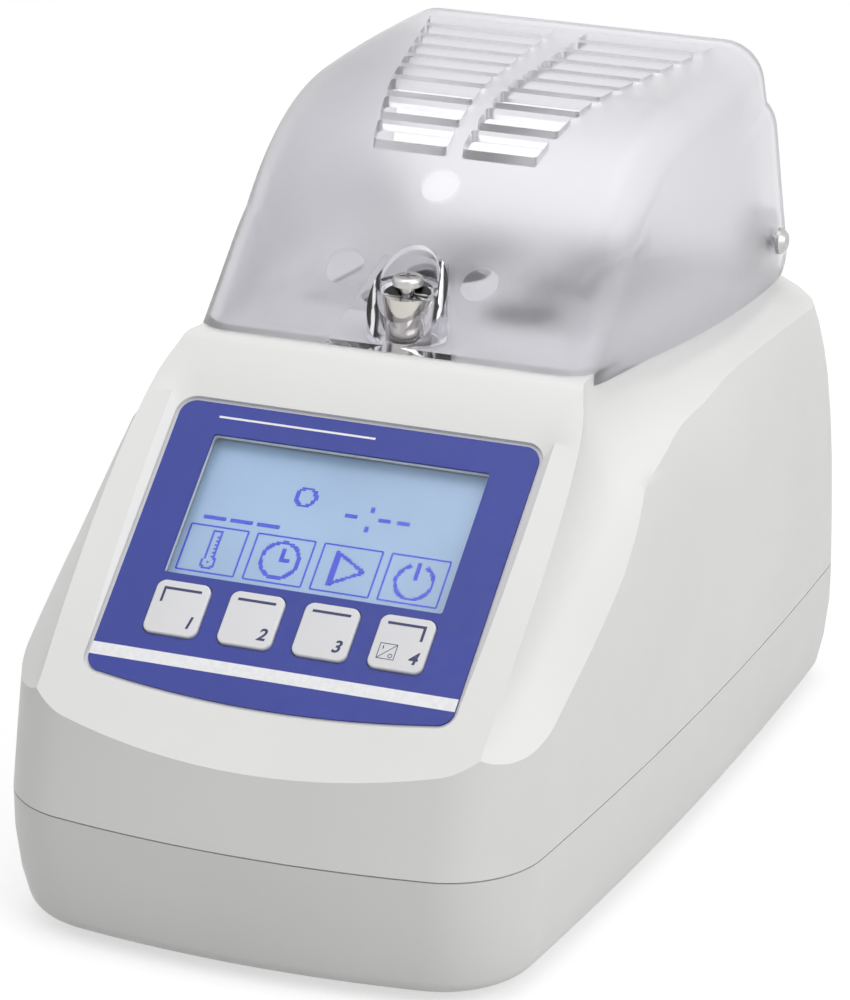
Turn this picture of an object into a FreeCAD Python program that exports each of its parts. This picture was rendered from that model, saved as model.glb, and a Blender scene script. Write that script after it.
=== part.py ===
# Dry bath incubator: a small bench heater for six round tubes under a hinged clear hood.
# Origin at the middle of the footprint on the bench, +X right, +Y back, +Z up, millimetres.
import FreeCAD, Part
import math
import os
import Sketcher
from FreeCAD import Placement, Rotation, Vector

doc = FreeCAD.newDocument("dry_bath")
sheet = doc.addObject("Spreadsheet::Sheet", "Sizes")
parts = []

# Driving dimensions: alias, value in millimetres or degrees, what it sizes
DIMENSIONS = [
    ("half_width", 57.6, "plan half width at the seam"),
    ("front_reach", 93.1, "origin to the front face at the seam"),
    ("rear_reach", 93.0, "origin to the rear face at the seam"),
    ("front_bow", 224.0, "plan radius of the bowed front"),
    ("side_bow", 1300.0, "plan radius of the bowed sides"),
    ("side_apex", 40.0, "where along the length the sides are widest"),
    ("front_corner", 19.0, "plan radius of the front corners"),
    ("rear_corner", 10.5, "plan radius of the rear corners"),
    ("wall", 2.5, "wall of both housing shells"),
    ("seam_height", 26.2, "height of the gap between the two shells"),
    ("seam_gap", 0.3, "width of that gap"),
    ("lip_height", 2.6, "locating lip above the tray's rim"),
    ("lip_thickness", 1.2, "locating lip's own wall"),
    ("lip_clearance", 0.2, "between the lip and the upper shell"),
    ("foot_radius", 6.5, "rubber foot"),
    ("foot_show", 1.8, "what a foot stands proud of the tray"),
    ("foot_sink", 0.8, "how deep a foot sits in its recess"),
    ("foot_front_x", 33.0, "front feet from the middle plane"),
    ("foot_front_y", -70.0, "front feet along the length"),
    ("foot_rear_x", 34.0, "rear feet from the middle plane"),
    ("foot_rear_in", 19.0, "rear feet in from the rear face"),
    ("screw_radius", 1.5, "thread radius of the housing screws"),
    ("screw_head", 2.9, "head radius of the housing screws"),
    ("screw_head_high", 2.2, "head height of the housing screws"),
    ("screw_long", 18.0, "shank of a housing screw"),
    ("screw_front_x", 42.0, "front housing screws from the middle plane"),
    ("screw_front_y", -66.0, "front housing screws along the length"),
    ("screw_rear_x", 46.0, "rear housing screws from the middle plane"),
    ("screw_rear_in", 23.0, "rear housing screws in from the rear face"),
    ("boss_radius", 4.2, "screw bosses of both shells"),
    ("boss_split", 10.0, "height where the bosses of the two shells meet"),
    ("console_tilt", 39.0, "slope of the control panel"),
    ("console_y", -44.9, "reference point on the panel, along the length"),
    ("console_z", 78.6, "reference point on the panel, height"),
    ("console_rise", 1.0, "console surface above the panel's plane"),
    ("console_bow", 1000.0, "radius of the console's lower part in side view"),
    ("bow_start", -40.0, "where that radius starts outside, along the length"),
    ("bow_start_inside", -76.0, "where it starts on the inside, below the foil"),
    ("deck_front_y", -20.0, "reference point on the deck, along the length"),
    ("deck_front_z", 98.8, "deck height there"),
    ("deck_fall", 4.29, "slope of the deck towards the rear"),
    ("crest_round", 4.0, "rounding between panel and deck"),
    ("tail_round", 14.2, "rounding between deck and rear face"),
    ("label_margin", 8.5, "foil beyond the window at each side"),
    ("label_top", 16.9, "foil's top edge, up the slope from the reference"),
    ("label_side", -42.6, "foil's lower corners"),
    ("label_bottom", -45.2, "lowest point of its bowed lower edge"),
    ("label_corner", 3.2, "foil's corner radius"),
    ("label_rim", 0.8, "gap between the foil and its recess"),
    ("label_sink", 0.8, "depth of the foil's recess"),
    ("label_thick", 0.5, "foil thickness"),
    ("dish_side", 1.6, "slope of the dish beside and below the foil"),
    ("dish_top", 5.4, "slope of the dish above the foil"),
    ("view_width", 56.0, "clear window in the foil"),
    ("view_height", 30.4, "clear window in the foil"),
    ("view_middle", -5.0, "middle of the window on the slope"),
    ("pane_lap", 1.5, "how far the window pane reaches under the foil"),
    ("pane_thick", 0.4, "window pane"),
    ("key_width", 10.9, "key cap"),
    ("key_height", 11.3, "key cap"),
    ("key_corner", 1.8, "key cap corner radius"),
    ("key_proud", 0.3, "key cap above the panel"),
    ("key_pitch", 15.0, "key to key"),
    ("key_row", -27.7, "key row on the slope"),
    ("key_gap", 0.2, "clearance round a key"),
    ("key_flange", 1.0, "side flange of a key"),
    ("key_flange_thick", 0.8, "side flange of a key"),
    ("board_thick", 1.6, "circuit boards"),
    ("board_depth", 7.6, "control board below the panel face"),
    ("board_margin", 9.0, "control board beyond the window at each side"),
    ("board_top", 14.0, "control board's upper edge on the slope"),
    ("board_bottom", -39.0, "control board's lower edge on the slope"),
    ("post_margin", 6.0, "control board posts beyond the window"),
    ("post_top", 11.0, "upper control board posts on the slope"),
    ("post_bottom", -36.0, "lower control board posts on the slope"),
    ("post_radius", 2.4, "control board posts"),
    ("glass_thick", 1.8, "display glass"),
    ("light_thick", 2.6, "display backlight"),
    ("frame_wall", 0.5, "display frame sheet"),
    ("hinge_in", 14.7, "hood hinge axis in from the rear face"),
    ("hinge_z", 97.2, "hood hinge axis"),
    ("hinge_post", 5.2, "thickness of a hinge post"),
    ("hinge_post_round", 6.3, "rounded top of a hinge post"),
    ("hinge_gap", 0.35, "between hood ear and hinge post"),
    ("ear_round", 7.4, "rounded ear of the hood"),
    ("pivot_radius", 1.6, "shoulder of a hinge screw"),
    ("pivot_clearance", 0.05, "running fit of the ears"),
    ("pivot_head", 2.7, "dome head of a hinge screw"),
    ("hood_wall", 2.2, "hood wall"),
    ("hood_gap", 0.3, "hood above the deck when shut"),
    ("hood_hang", 1.8, "how far the cheeks hang below the deck"),
    ("hood_front_y", -18.7, "lower edge of the hood's front"),
    ("hood_front_z", 99.3, "lower edge of the hood's front"),
    ("hood_slope", 44.6, "slope of the hood's front"),
    ("hood_top", 136.3, "top of the hood"),
    ("hood_rear_in", 8.4, "rear edge of the hood in from the rear face"),
    ("hood_turn", 54.6, "radius between the hood's front and top"),
    ("arch_half", 40.8, "half width of the upper hood"),
    ("arch_bow", 285.0, "plan radius of the upper hood's sides"),
    ("arch_apex", 50.0, "where the upper hood is widest"),
    ("arch_edge", 8.5, "edge radius of the upper hood"),
    ("cheek_half", 45.4, "half width of the hood's cheeks at the deck"),
    ("cheek_top", 126.6, "top of the cheeks"),
    ("cheek_turn", 50.0, "radius at the front of the cheeks"),
    ("slot_count", 9, "vent slots in each row"),
    ("slot_first", 15.0, "front edge of the first slot"),
    ("slot_rear_in", 6.1, "rear edge of the last slot in from the hood's rear edge"),
    ("slot_wide", 5.1, "slot along the length"),
    ("slot_out_front", 16.9, "outer end of the first slot"),
    ("slot_out_rear", 29.7, "outer end of the last slot"),
    ("slot_in_front", 1.5, "inner end of the first slot"),
    ("slot_in_rear", 3.4, "inner end of the last slot"),
    ("catch_y", -8.5, "axis of the magnetic catch"),
    ("catch_radius", 7.75, "outside of the catch pocket"),
    ("catch_bore", 6.0, "inside of the catch pocket"),
    ("catch_floor", 107.3, "underside of the pocket floor"),
    ("catch_floor_thick", 2.0, "pocket floor"),
    ("magnet_radius", 4.65, "catch magnet"),
    ("magnet_gap", 0.35, "magnet above its keeper"),
    ("keeper_radius", 5.5, "steel keeper in the deck"),
    ("keeper_thick", 1.6, "steel keeper in the deck"),
    ("well_radius", 8.2, "tube well"),
    ("well_across", 25.0, "well pitch across"),
    ("well_along", 22.0, "well pitch along"),
    ("well_floor", 38.0, "bottom of the wells, on the base plate"),
    ("block_in", 50.0, "middle of the block in from the rear face"),
    ("block_wide", 58.0, "heating block across"),
    ("block_long", 72.0, "heating block along"),
    ("block_base", 30.0, "underside of the block's base plate"),
    ("block_corner", 4.0, "vertical corners of the block"),
    ("block_drop", 1.5, "top of the block below the deck"),
    ("cover_thick", 1.2, "cover plate on the block"),
    ("cover_relief", 0.6, "cover hole larger than the well"),
    ("deck_clearance", 0.6, "gap round the block in the deck"),
    ("heater_radius", 3.0, "cartridge heater"),
    ("heater_long", 44.0, "cartridge heater"),
    ("heater_off", 11.0, "heaters either side of the block's middle"),
    ("sensor_radius", 2.0, "temperature sensor"),
    ("sensor_long", 26.0, "temperature sensor"),
    ("jacket_thick", 5.0, "insulation round the block"),
    ("jacket_gap", 0.2, "insulation clear of the block"),
    ("pad_thick", 1.5, "insulating pad under the block"),
    ("bracket_thick", 1.5, "carrier sheet under the block"),
    ("bracket_wide", 86.0, "carrier sheet"),
    ("bracket_long", 50.0, "carrier sheet"),
    ("pillar_radius", 3.2, "pillars of the carrier"),
    ("pillar_inset", 4.5, "pillars in from the carrier's edge"),
    ("power_wide", 72.0, "power board"),
    ("power_long", 56.0, "power board"),
    ("power_middle", -46.0, "power board along the length"),
    ("power_lift", 10.0, "underside of the power board"),
    ("jack_x", -30.0, "power inlet from the middle plane"),
    ("jack_z", 14.0, "power inlet height"),
    ("jack_radius", 4.0, "barrel of the power inlet"),
    ("jack_bore", 3.1, "socket of the power inlet"),
    ("jack_pin", 1.05, "centre pin of the power inlet"),
    ("fit", 0.05, "small clearance between fixed pieces"),
]
for row, (alias, value, note) in enumerate(DIMENSIONS, start=1):
    sheet.set("A%d" % row, note)
    sheet.set("B%d" % row, str(value))
    sheet.setAlias("B%d" % row, alias)
doc.recompute()


def size(alias):
    """Value of one cell of the sheet."""
    return float(getattr(sheet, alias))


# Values that follow from the sheet
TILT = math.radians(size("console_tilt"))
FALL = math.radians(size("deck_fall"))
WALL = size("wall")
FLOOR = size("foot_show") + WALL
HINGE = Vector(0, size("rear_reach") - size("hinge_in"), size("hinge_z"))
HOOD_REAR = size("rear_reach") - size("hood_rear_in")
BLOCK_MIDDLE = size("rear_reach") - size("block_in")
LABEL_HALF = size("view_width") / 2 + size("label_margin")
CONSOLE = Placement(Vector(0, size("console_y"), size("console_z")),
                    Rotation(Vector(1, 0, 0), size("console_tilt")))
SIDES = (-1, 1)


def panel_height(y, grow=0.0):
    """Height of the control panel's plane, moved out along its normal by grow."""
    return size("console_z") + (y - size("console_y")) * math.tan(TILT) + grow / math.cos(TILT)


def deck_height(y, grow=0.0):
    """Height of the deck, moved out along its normal by grow."""
    return size("deck_front_z") - (y - size("deck_front_y")) * math.tan(FALL) + grow / math.cos(FALL)


def keep(name, piece, place=None):
    """Give a finished piece its label, and its placement where it has one."""
    piece.Label = name
    if place is not None:
        piece.Placement = place
    parts.append((name, piece))
    return piece


def feature(name, solid, place=None):
    """A piece whose form only Part's own functions can give."""
    piece = doc.addObject("Part::Feature", name)
    piece.Shape = solid
    return keep(name, piece, place)


# Sketched bodies
def body(name):
    return doc.addObject("PartDesign::Body", name)


def sketch(piece, name, role="XY_Plane", lift=None):
    """Sketch on one of the body's own planes, raised along its normal by an expression."""
    drawing = piece.newObject("Sketcher::SketchObject", name)
    plane = [item for item in piece.Origin.OriginFeatures if item.Role == role][0]
    drawing.AttachmentSupport = (plane, [""])
    drawing.MapMode = "FlatFace"
    if lift is not None:
        drawing.setExpression("AttachmentOffset.Base.z", lift)
    return drawing


def outline(drawing, corners, sizes):
    """Closed polygon whose corners are pinned to the sheet: corners in numbers, sizes as expressions."""
    points = [Vector(x, y, 0) for x, y in corners]
    count = len(points)
    for index in range(count):
        drawing.addGeometry(Part.LineSegment(points[index], points[(index + 1) % count]), False)
    for index in range(count):
        drawing.addConstraint(Sketcher.Constraint("Coincident", index, 2, (index + 1) % count, 1))
    for index, (across, along) in enumerate(sizes):
        for kind, text in (("DistanceX", across), ("DistanceY", along)):
            value = points[index].x if kind == "DistanceX" else points[index].y
            number = drawing.addConstraint(Sketcher.Constraint(kind, -1, 1, index, 1, value))
            drawing.setExpression("Constraints[%d]" % number, text)


def number(text):
    """Value of an expression written in the sheet's aliases."""
    return float(sheet.evalExpression(text))


def rectangle(drawing, left, right, low, high):
    corners = [(left, low), (right, low), (right, high), (left, high)]
    outline(drawing, [(number(x), number(y)) for x, y in corners],
            [(sheet_text(x), sheet_text(y)) for x, y in corners])


def sheet_text(text):
    """The same expression as seen from outside the sheet."""
    words = text.replace("(", " ( ").replace(")", " ) ").split()
    aliases = {alias for alias, value, note in DIMENSIONS}
    return " ".join("Sizes." + word if word in aliases else word for word in words)


def circle(drawing, radius, across="0", along="0"):
    centre = Vector(number(across), number(along), 0)
    index = drawing.addGeometry(Part.Circle(centre, Vector(0, 0, 1), number(radius)), False)
    for constraint, text in (
            (Sketcher.Constraint("Radius", index, number(radius)), radius),
            (Sketcher.Constraint("DistanceX", -1, 1, index, 3, centre.x), across),
            (Sketcher.Constraint("DistanceY", -1, 1, index, 3, centre.y), along)):
        place = drawing.addConstraint(constraint)
        drawing.setExpression("Constraints[%d]" % place, sheet_text(text))


def pad(piece, drawing, length, kind="PartDesign::Pad"):
    """Pad a sketch, or pocket it, by an expression of the sheet."""
    step = piece.newObject(kind, drawing.Name + "_" + kind.split("::")[1].lower())
    step.Profile = drawing
    step.setExpression("Length", sheet_text(length))
    drawing.Visibility = False
    return step


def block_pad(piece, name, left, right, low, high, base, height):
    """Rectangular pad from the height base upwards."""
    drawing = sketch(piece, name, lift=sheet_text(base))
    rectangle(drawing, left, right, low, high)
    return pad(piece, drawing, height)


def round_edges(piece, name, radius, wanted):
    """Fillet those edges of the body's last step that wanted picks."""
    doc.recompute()
    base = piece.Tip
    names = ["Edge%d" % (index + 1) for index, edge in enumerate(base.Shape.Edges) if wanted(edge)]
    step = piece.newObject("PartDesign::Fillet", name)
    step.Base = (base, names)
    step.setExpression("Radius", sheet_text(radius))
    return step


def upright(edge):
    """True for a straight edge along the body's own Z."""
    if not isinstance(edge.Curve, Part.Line):
        return False
    return abs(edge.tangentAt(edge.FirstParameter).z) > 0.99


def turned(name, profile, place=None):
    """Piece turned about its own Z: profile lists (radius, height) expressions."""
    piece = body(name)
    drawing = sketch(piece, name + "_section", role="XZ_Plane")
    outline(drawing, [(number(x), number(z)) for x, z in profile],
            [(sheet_text(x), sheet_text(z)) for x, z in profile])
    step = piece.newObject("PartDesign::Revolution", name + "_turn")
    step.Profile = drawing
    step.ReferenceAxis = (drawing, ["V_Axis"])
    step.Angle = 360
    doc.recompute()
    if place is not None:
        piece.Placement = place
    return piece


def group(name, master, places):
    """Identical pieces in one node: separate solids copied from a master."""
    doc.recompute()
    rest = master.Placement.inverse()
    copies = [master.Shape.transformed((place * rest).toMatrix()) for place in places]
    return feature(name, Part.makeCompound(copies))


def at(x, y, z, axis=None, angle=0.0):
    return Placement(Vector(x, y, z), Rotation(axis or Vector(0, 0, 1), angle))


# Shell outlines
def meet(first, reach_first, second, reach_second, towards):
    """Point at given distances from two centres, on the side of towards."""
    gap = second.sub(first)
    span = gap.Length
    along = (span ** 2 + reach_first ** 2 - reach_second ** 2) / (2 * span)
    across = math.sqrt(reach_first ** 2 - along ** 2)
    unit = Vector(gap).normalize()
    normal = Vector(-unit.y, unit.x, 0)
    options = [first + unit * along + normal * (sign * across) for sign in SIDES]
    return min(options, key=lambda point: point.distanceToPoint(towards))


def beyond(start, through, reach):
    """Point at reach from start, in the direction of through."""
    return start + Vector(through.sub(start)).normalize() * reach


def mirrored(point):
    return Vector(-point.x, point.y, point.z)


def plan_wire(level, half_width, front, rear, grow):
    """Plan outline: bowed front and sides, straight back, four tangent corners."""
    bow, side_bow = size("front_bow"), size("side_bow")
    nose, tail = size("front_corner"), size("rear_corner")
    front_centre = Vector(0, bow - front, 0)
    side_centre = Vector(half_width - side_bow, size("side_apex"), 0)
    nose_centre = meet(front_centre, bow - nose, side_centre, side_bow - nose, Vector(half_width, -front, 0))
    tail_reach = side_bow - tail
    tail_y = rear - tail
    tail_x = side_centre.x + math.sqrt(tail_reach ** 2 - (tail_y - side_centre.y) ** 2)
    tail_centre = Vector(tail_x, tail_y, 0)
    lift = Vector(0, 0, level)
    nose_front = beyond(front_centre, nose_centre, bow + grow)
    nose_side = beyond(side_centre, nose_centre, side_bow + grow)
    tail_side = beyond(side_centre, tail_centre, side_bow + grow)
    tail_rear = Vector(tail_x, rear + grow, 0)
    nose_mid = beyond(nose_centre, (nose_front + nose_side) * 0.5, nose + grow)
    tail_mid = beyond(tail_centre, (tail_side + tail_rear) * 0.5, tail + grow)
    side_mid = beyond(side_centre, (nose_side + tail_side) * 0.5, side_bow + grow)
    right = [(nose_front, nose_mid, nose_side), (nose_side, side_mid, tail_side),
             (tail_side, tail_mid, tail_rear)]
    left = [tuple(mirrored(point) for point in reversed(arc)) for arc in reversed(right)]
    arcs = [(mirrored(nose_front), Vector(0, -front - grow, 0), nose_front)] + right
    edges = [Part.Arc(*[point + lift for point in arc]).toShape() for arc in arcs]
    edges.append(Part.LineSegment(tail_rear + lift, mirrored(tail_rear) + lift).toShape())
    edges += [Part.Arc(*[point + lift for point in arc]).toShape() for arc in left]
    return Part.Wire(edges)


# Height above the seam, and how far the side, front and rear have drawn in there
UPPER_DRAW = [(0.0, 0.0, 0.0, 0.0), (23.8, 0.3, 5.8, 1.0), (41.8, 1.4, 10.0, 2.0),
              (52.8, 3.4, 12.8, 2.6), (59.8, 5.8, 14.6, 3.0), (63.8, 7.6, 15.6, 3.2)]
# Depth below the seam, and how far the tray has drawn in there
TRAY_DRAW = [(0.0, 0.0), (8.0, 0.1), (16.0, 0.9), (24.4, 2.6)]
TRAY_EDGE = 4.6
# Station along the length, inner and outer edge of the shoulder, height of its outer
# edge below the panel's plane or the deck, and hollow of the cove between them
SHOULDER = [(-96.0, 39.5, 43.0, -1.0, 0.2), (-86.0, 41.6, 44.6, 0.4, 0.2), (-78.6, 43.2, 46.6, 3.1, 0.3),
            (-68.0, 44.4, 48.2, 5.0, 0.6), (-54.1, 44.9, 49.6, 8.6, 1.0), (-40.3, 44.6, 50.2, 12.1, 1.5),
            (-28.8, 43.2, 50.8, 15.4, 2.2), (-20.7, 40.4, 51.1, 17.2, 2.8), (-11.0, 39.6, 51.4, 15.6, 2.8),
            (1.5, 39.6, 51.7, 12.7, 2.6), (15.6, 39.8, 51.8, 11.2, 2.4), (30.3, 40.0, 51.8, 9.3, 2.1),
            (52.3, 40.0, 51.6, 8.2, 1.9), (75.8, 39.8, 51.2, 7.7, 1.8), (100.0, 39.4, 50.6, 7.7, 1.8)]
SHOULDER_REACH = 30.0
HIGH_EDGE = 1.5
CONSOLE_RUN = 110.0
REAR_LEAN = 2.3
CORE_HALF = 48.2
CORE_BASE = 60.0
CORE_TOP = 130.0


def loft(wires):
    """Solid through the wires, its faces pointing outwards."""
    solid = Part.makeLoft(wires, True, True)
    return solid if solid.Volume > 0 else Part.makeSolid(solid.Shells[0]).reversed()


def smoothed(rows, steps):
    """Rows of a table with steps - 1 more between each two, on a smooth curve through them all."""
    result = []
    for index in range(len(rows) - 1):
        start, end = rows[index], rows[index + 1]
        before, after = rows[max(index - 1, 0)], rows[min(index + 2, len(rows) - 1)]
        span = end[0] - start[0]
        for step in range(steps):
            share = step / steps
            row = [start[0] + span * share]
            for value in range(1, len(start)):
                rate_start = (end[value] - before[value]) / (end[0] - before[0]) * span
                rate_end = (after[value] - start[value]) / (after[0] - start[0]) * span
                rise = end[value] - start[value]
                bend = share * share * (3 - 2 * share)
                row.append(start[value] + rise * bend + rate_start * share * (1 - share) ** 2
                           - rate_end * share * share * (1 - share))
            result.append(tuple(row))
    return result + [rows[-1]]


def console_line(grow, rise, start_y):
    """Foot, middle and end of the console's bowed part in side view, raised above the panel's plane."""
    along, normal = Vector(0, math.cos(TILT), math.sin(TILT)), Vector(0, -math.sin(TILT), math.cos(TILT))
    on_plane = Vector(0, start_y, panel_height(start_y))
    bow = size("console_bow")
    centre = on_plane + normal * (rise - bow)
    points = []
    for run in (CONSOLE_RUN, CONSOLE_RUN / 2, 0.0):
        turn = run / bow
        points.append(centre + (normal * math.cos(turn) - along * math.sin(turn)) * (bow + grow))
    return points


def profile_face(grow, rise, bow_start):
    """Side view of the upper shell: bowed console, deck, and the round down to the rear face."""
    foot, middle, straight = console_line(grow, rise, bow_start)
    lift = (rise + grow) / math.cos(TILT)
    gap_at_front = panel_height(size("deck_front_y")) + lift - deck_height(size("deck_front_y"), grow)
    crest_y = size("deck_front_y") - gap_at_front / (math.tan(TILT) + math.tan(FALL))
    crest = Vector(0, crest_y, deck_height(crest_y, grow))
    reach = (size("crest_round") + grow) * math.tan((TILT + FALL) / 2)
    first = crest - Vector(0, math.cos(TILT), math.sin(TILT)) * reach
    last = crest + Vector(0, math.cos(FALL), -math.sin(FALL)) * reach
    bisector = Vector(0, math.sin((TILT - FALL) / 2), -math.cos((TILT - FALL) / 2))
    radius = size("crest_round") + grow
    top = crest + bisector * (radius / math.cos((TILT + FALL) / 2) - radius)
    tail = size("tail_round")
    tail_y = size("rear_reach") - REAR_LEAN - tail
    tail_z = deck_height(tail_y) - tail / math.cos(FALL)
    round_tail = tail + grow
    leave = Vector(0, tail_y + round_tail * math.sin(FALL), tail_z + round_tail * math.cos(FALL))
    slant = math.radians(45)
    bend = Vector(0, tail_y + round_tail * math.sin(slant), tail_z + round_tail * math.cos(slant))
    drop = Vector(0, tail_y + round_tail, tail_z)
    below = Vector(0, size("rear_reach") + 17, 20.0)
    corner, start_low = Vector(0, below.y, -60.0), Vector(0, foot.y, -60.0)
    edges = [Part.Arc(foot, middle, straight).toShape(), Part.LineSegment(straight, first).toShape(),
             Part.Arc(first, top, last).toShape(), Part.LineSegment(last, leave).toShape(),
             Part.Arc(leave, bend, drop).toShape(), Part.LineSegment(drop, below).toShape(),
             Part.LineSegment(below, corner).toShape(), Part.LineSegment(corner, start_low).toShape(),
             Part.LineSegment(start_low, foot).toShape()]
    return Part.Face(Part.Wire(edges))


def shoulder_cutter(grow):
    """Space above the right shoulder: a cove from the panel or deck edge down to the side ridge."""
    sections = []
    for y, inner, outer, fall, hollow in smoothed(SHOULDER, 3):
        surface = min(panel_height(y), deck_height(y))
        lean = math.atan2(fall, outer - inner)
        shift = Vector(math.sin(lean), 0, math.cos(lean)) * grow
        high = Vector(inner, y, surface + HIGH_EDGE) + shift
        ridge = Vector(outer, y, surface - fall) + shift
        chord = ridge.sub(high)
        inward = Vector(chord.z, 0, -chord.x).normalize()
        dip = (high + ridge) * 0.5 + inward * hollow
        slope = chord.z / chord.x * 0.6
        outside = ridge + Vector(SHOULDER_REACH, 0, SHOULDER_REACH * slope)
        far = Vector(outside.x, y, CORE_TOP + 10)
        above = Vector(high.x, y, CORE_TOP + 10)
        edges = [Part.Arc(high, dip, ridge).toShape(), Part.LineSegment(ridge, outside).toShape(),
                 Part.LineSegment(outside, far).toShape(), Part.LineSegment(far, above).toShape(),
                 Part.LineSegment(above, high).toShape()]
        sections.append(Part.Wire(edges))
    return loft(sections)


def upper_envelope(grow, base, inside=False):
    """Form of the upper shell from the height base upwards, moved out by grow; inside, the console is flat."""
    rise, bow_start = size("console_rise"), size("bow_start")
    if inside:
        rise, bow_start = 0.0, size("bow_start_inside")
    half, front, rear = size("half_width"), size("front_reach"), size("rear_reach")
    seam = size("seam_height")
    wires = [plan_wire(seam + up, half - side, front - nose, rear - tail, grow)
             for up, side, nose, tail in smoothed(UPPER_DRAW, 2)]
    skirt = loft(wires)
    last = UPPER_DRAW[-1]
    core_wires = [plan_wire(level, CORE_HALF, front - last[2], rear - last[3], grow - 0.4)
                  for level in (CORE_BASE, CORE_TOP)]
    core = loft(core_wires)
    form = skirt.fuse(core)
    profile = profile_face(grow, rise, bow_start)
    profile.translate(Vector(-100, 0, 0))
    form = form.common(profile.extrude(Vector(200, 0, 0)))
    cutter = shoulder_cutter(grow)
    form = form.cut(cutter).cut(cutter.mirror(Vector(0, 0, 0), Vector(1, 0, 0)))
    keeper_box = Part.makeBox(300, 300, 200, Vector(-150, -150, base))
    return form.common(keeper_box).removeSplitter()


def rounded_plate(half_x, low, high, corner, bottom_sag, base, height):
    """Flat plate in the panel's own frame, its lower edge bowed by bottom_sag."""
    left, right = -half_x, half_x
    edges = []
    top_right, top_left = Vector(right, high, base), Vector(left, high, base)
    dx, dy = Vector(corner, 0, 0), Vector(0, corner, 0)
    bend = corner * (1 - math.sqrt(0.5))
    low_right, low_left = Vector(right, low, base), Vector(left, low, base)
    edges.append(Part.LineSegment(top_left + dx, top_right - dx).toShape())
    edges.append(Part.Arc(top_right - dx, top_right - Vector(bend, bend, 0), top_right - dy).toShape())
    edges.append(Part.LineSegment(top_right - dy, low_right + dy).toShape())
    edges.append(Part.Arc(low_right + dy, low_right + Vector(-bend, bend, 0), low_right - dx).toShape())
    if bottom_sag > 0:
        edges.append(Part.Arc(low_right - dx, Vector(0, low - bottom_sag, base), low_left + dx).toShape())
    else:
        edges.append(Part.LineSegment(low_right - dx, low_left + dx).toShape())
    edges.append(Part.Arc(low_left + dx, low_left + Vector(bend, bend, 0), low_left + dy).toShape())
    edges.append(Part.LineSegment(low_left + dy, top_left - dy).toShape())
    edges.append(Part.Arc(top_left - dy, top_left + Vector(bend, -bend, 0), top_left + dx).toShape())
    return Part.Face(Part.Wire(edges)).extrude(Vector(0, 0, height))


def label_dish():
    """Shallow dish round the foil, from the panel's plane out to the console's surface and beyond."""
    rise = size("console_rise") * 2
    wires = []
    for level, share in ((0.0, 0.0), (rise, 2.0)):
        plate = rounded_plate(LABEL_HALF + size("label_rim") + size("dish_side") * share,
                              size("label_side") - size("label_rim") - size("dish_side") * share,
                              size("label_top") + size("label_rim") + size("dish_top") * share,
                              size("label_corner") + size("label_rim") + size("dish_side") * share,
                              size("label_side") - size("label_bottom"), level, 1)
        floor_face = min(plate.Faces, key=lambda face: face.CenterOfMass.z)
        wires.append(floor_face.OuterWire)
    return loft(wires)


def placed(solid, place):
    copy = solid.copy()
    copy.Placement = place.multiply(copy.Placement)
    return copy


def key_centres():
    """Middles of the four keys across the panel."""
    return [(index - 1.5) * size("key_pitch") for index in range(4)]


SCREW_SPOTS = [(side * x, y) for x, y in (
    (size("screw_front_x"), size("screw_front_y")),
    (size("screw_rear_x"), size("rear_reach") - size("screw_rear_in"))) for side in SIDES]
FOOT_SPOTS = [(side * x, y) for x, y in (
    (size("foot_front_x"), size("foot_front_y")),
    (size("foot_rear_x"), size("rear_reach") - size("foot_rear_in"))) for side in SIDES]
POST_SPOTS = [(side * (size("view_width") / 2 + size("post_margin")), size(row))
              for row in ("post_top", "post_bottom") for side in SIDES]
SCREW_SEAT = size("foot_show") + 3.6
HEAD_ROOM = 0.5
POWER_SPOTS = [(side * (size("power_wide") / 2 - 4), size("power_middle") + end * (size("power_long") / 2 - 4))
               for side in SIDES for end in SIDES]
PILLAR_SPOTS = [(side * (size("bracket_wide") / 2 - size("pillar_inset")),
                 BLOCK_MIDDLE + end * (size("bracket_long") / 2 - size("pillar_inset")))
                for side in SIDES for end in SIDES]
PILLAR_BASE = 8.0
JACK_SINK = 0.9
KEEPER_SINK = 0.15
CHEEK_DRAFT = 1.0
JACK_WALL = 3.4
JACK_SEAT = 8.0
BRACKET_TOP = size("block_base") - size("pad_thick")
BRACKET_BASE = BRACKET_TOP - size("bracket_thick")


def cylinder(radius, height, x, y, z, direction=None):
    return Part.makeCylinder(radius, height, Vector(x, y, z), direction or Vector(0, 0, 1))


def tray_form(grow, base, top):
    """Drafted outer form of the tray between two heights, moved out by grow."""
    seam, lowest = size("seam_height"), size("foot_show")
    half, front, rear = size("half_width"), size("front_reach"), size("rear_reach")
    wires = [plan_wire(seam - down, half - draw, front - draw, rear - draw, grow)
             for down, draw in reversed(TRAY_DRAW)]
    form = loft(wires)
    if grow == 0.0:
        rim = [edge for edge in form.Edges if edge.BoundBox.ZMax < lowest + 0.1]
        form = form.makeFillet(TRAY_EDGE, rim)
    return form.common(Part.makeBox(300, 300, top - base, Vector(-150, -150, base)))


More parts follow.
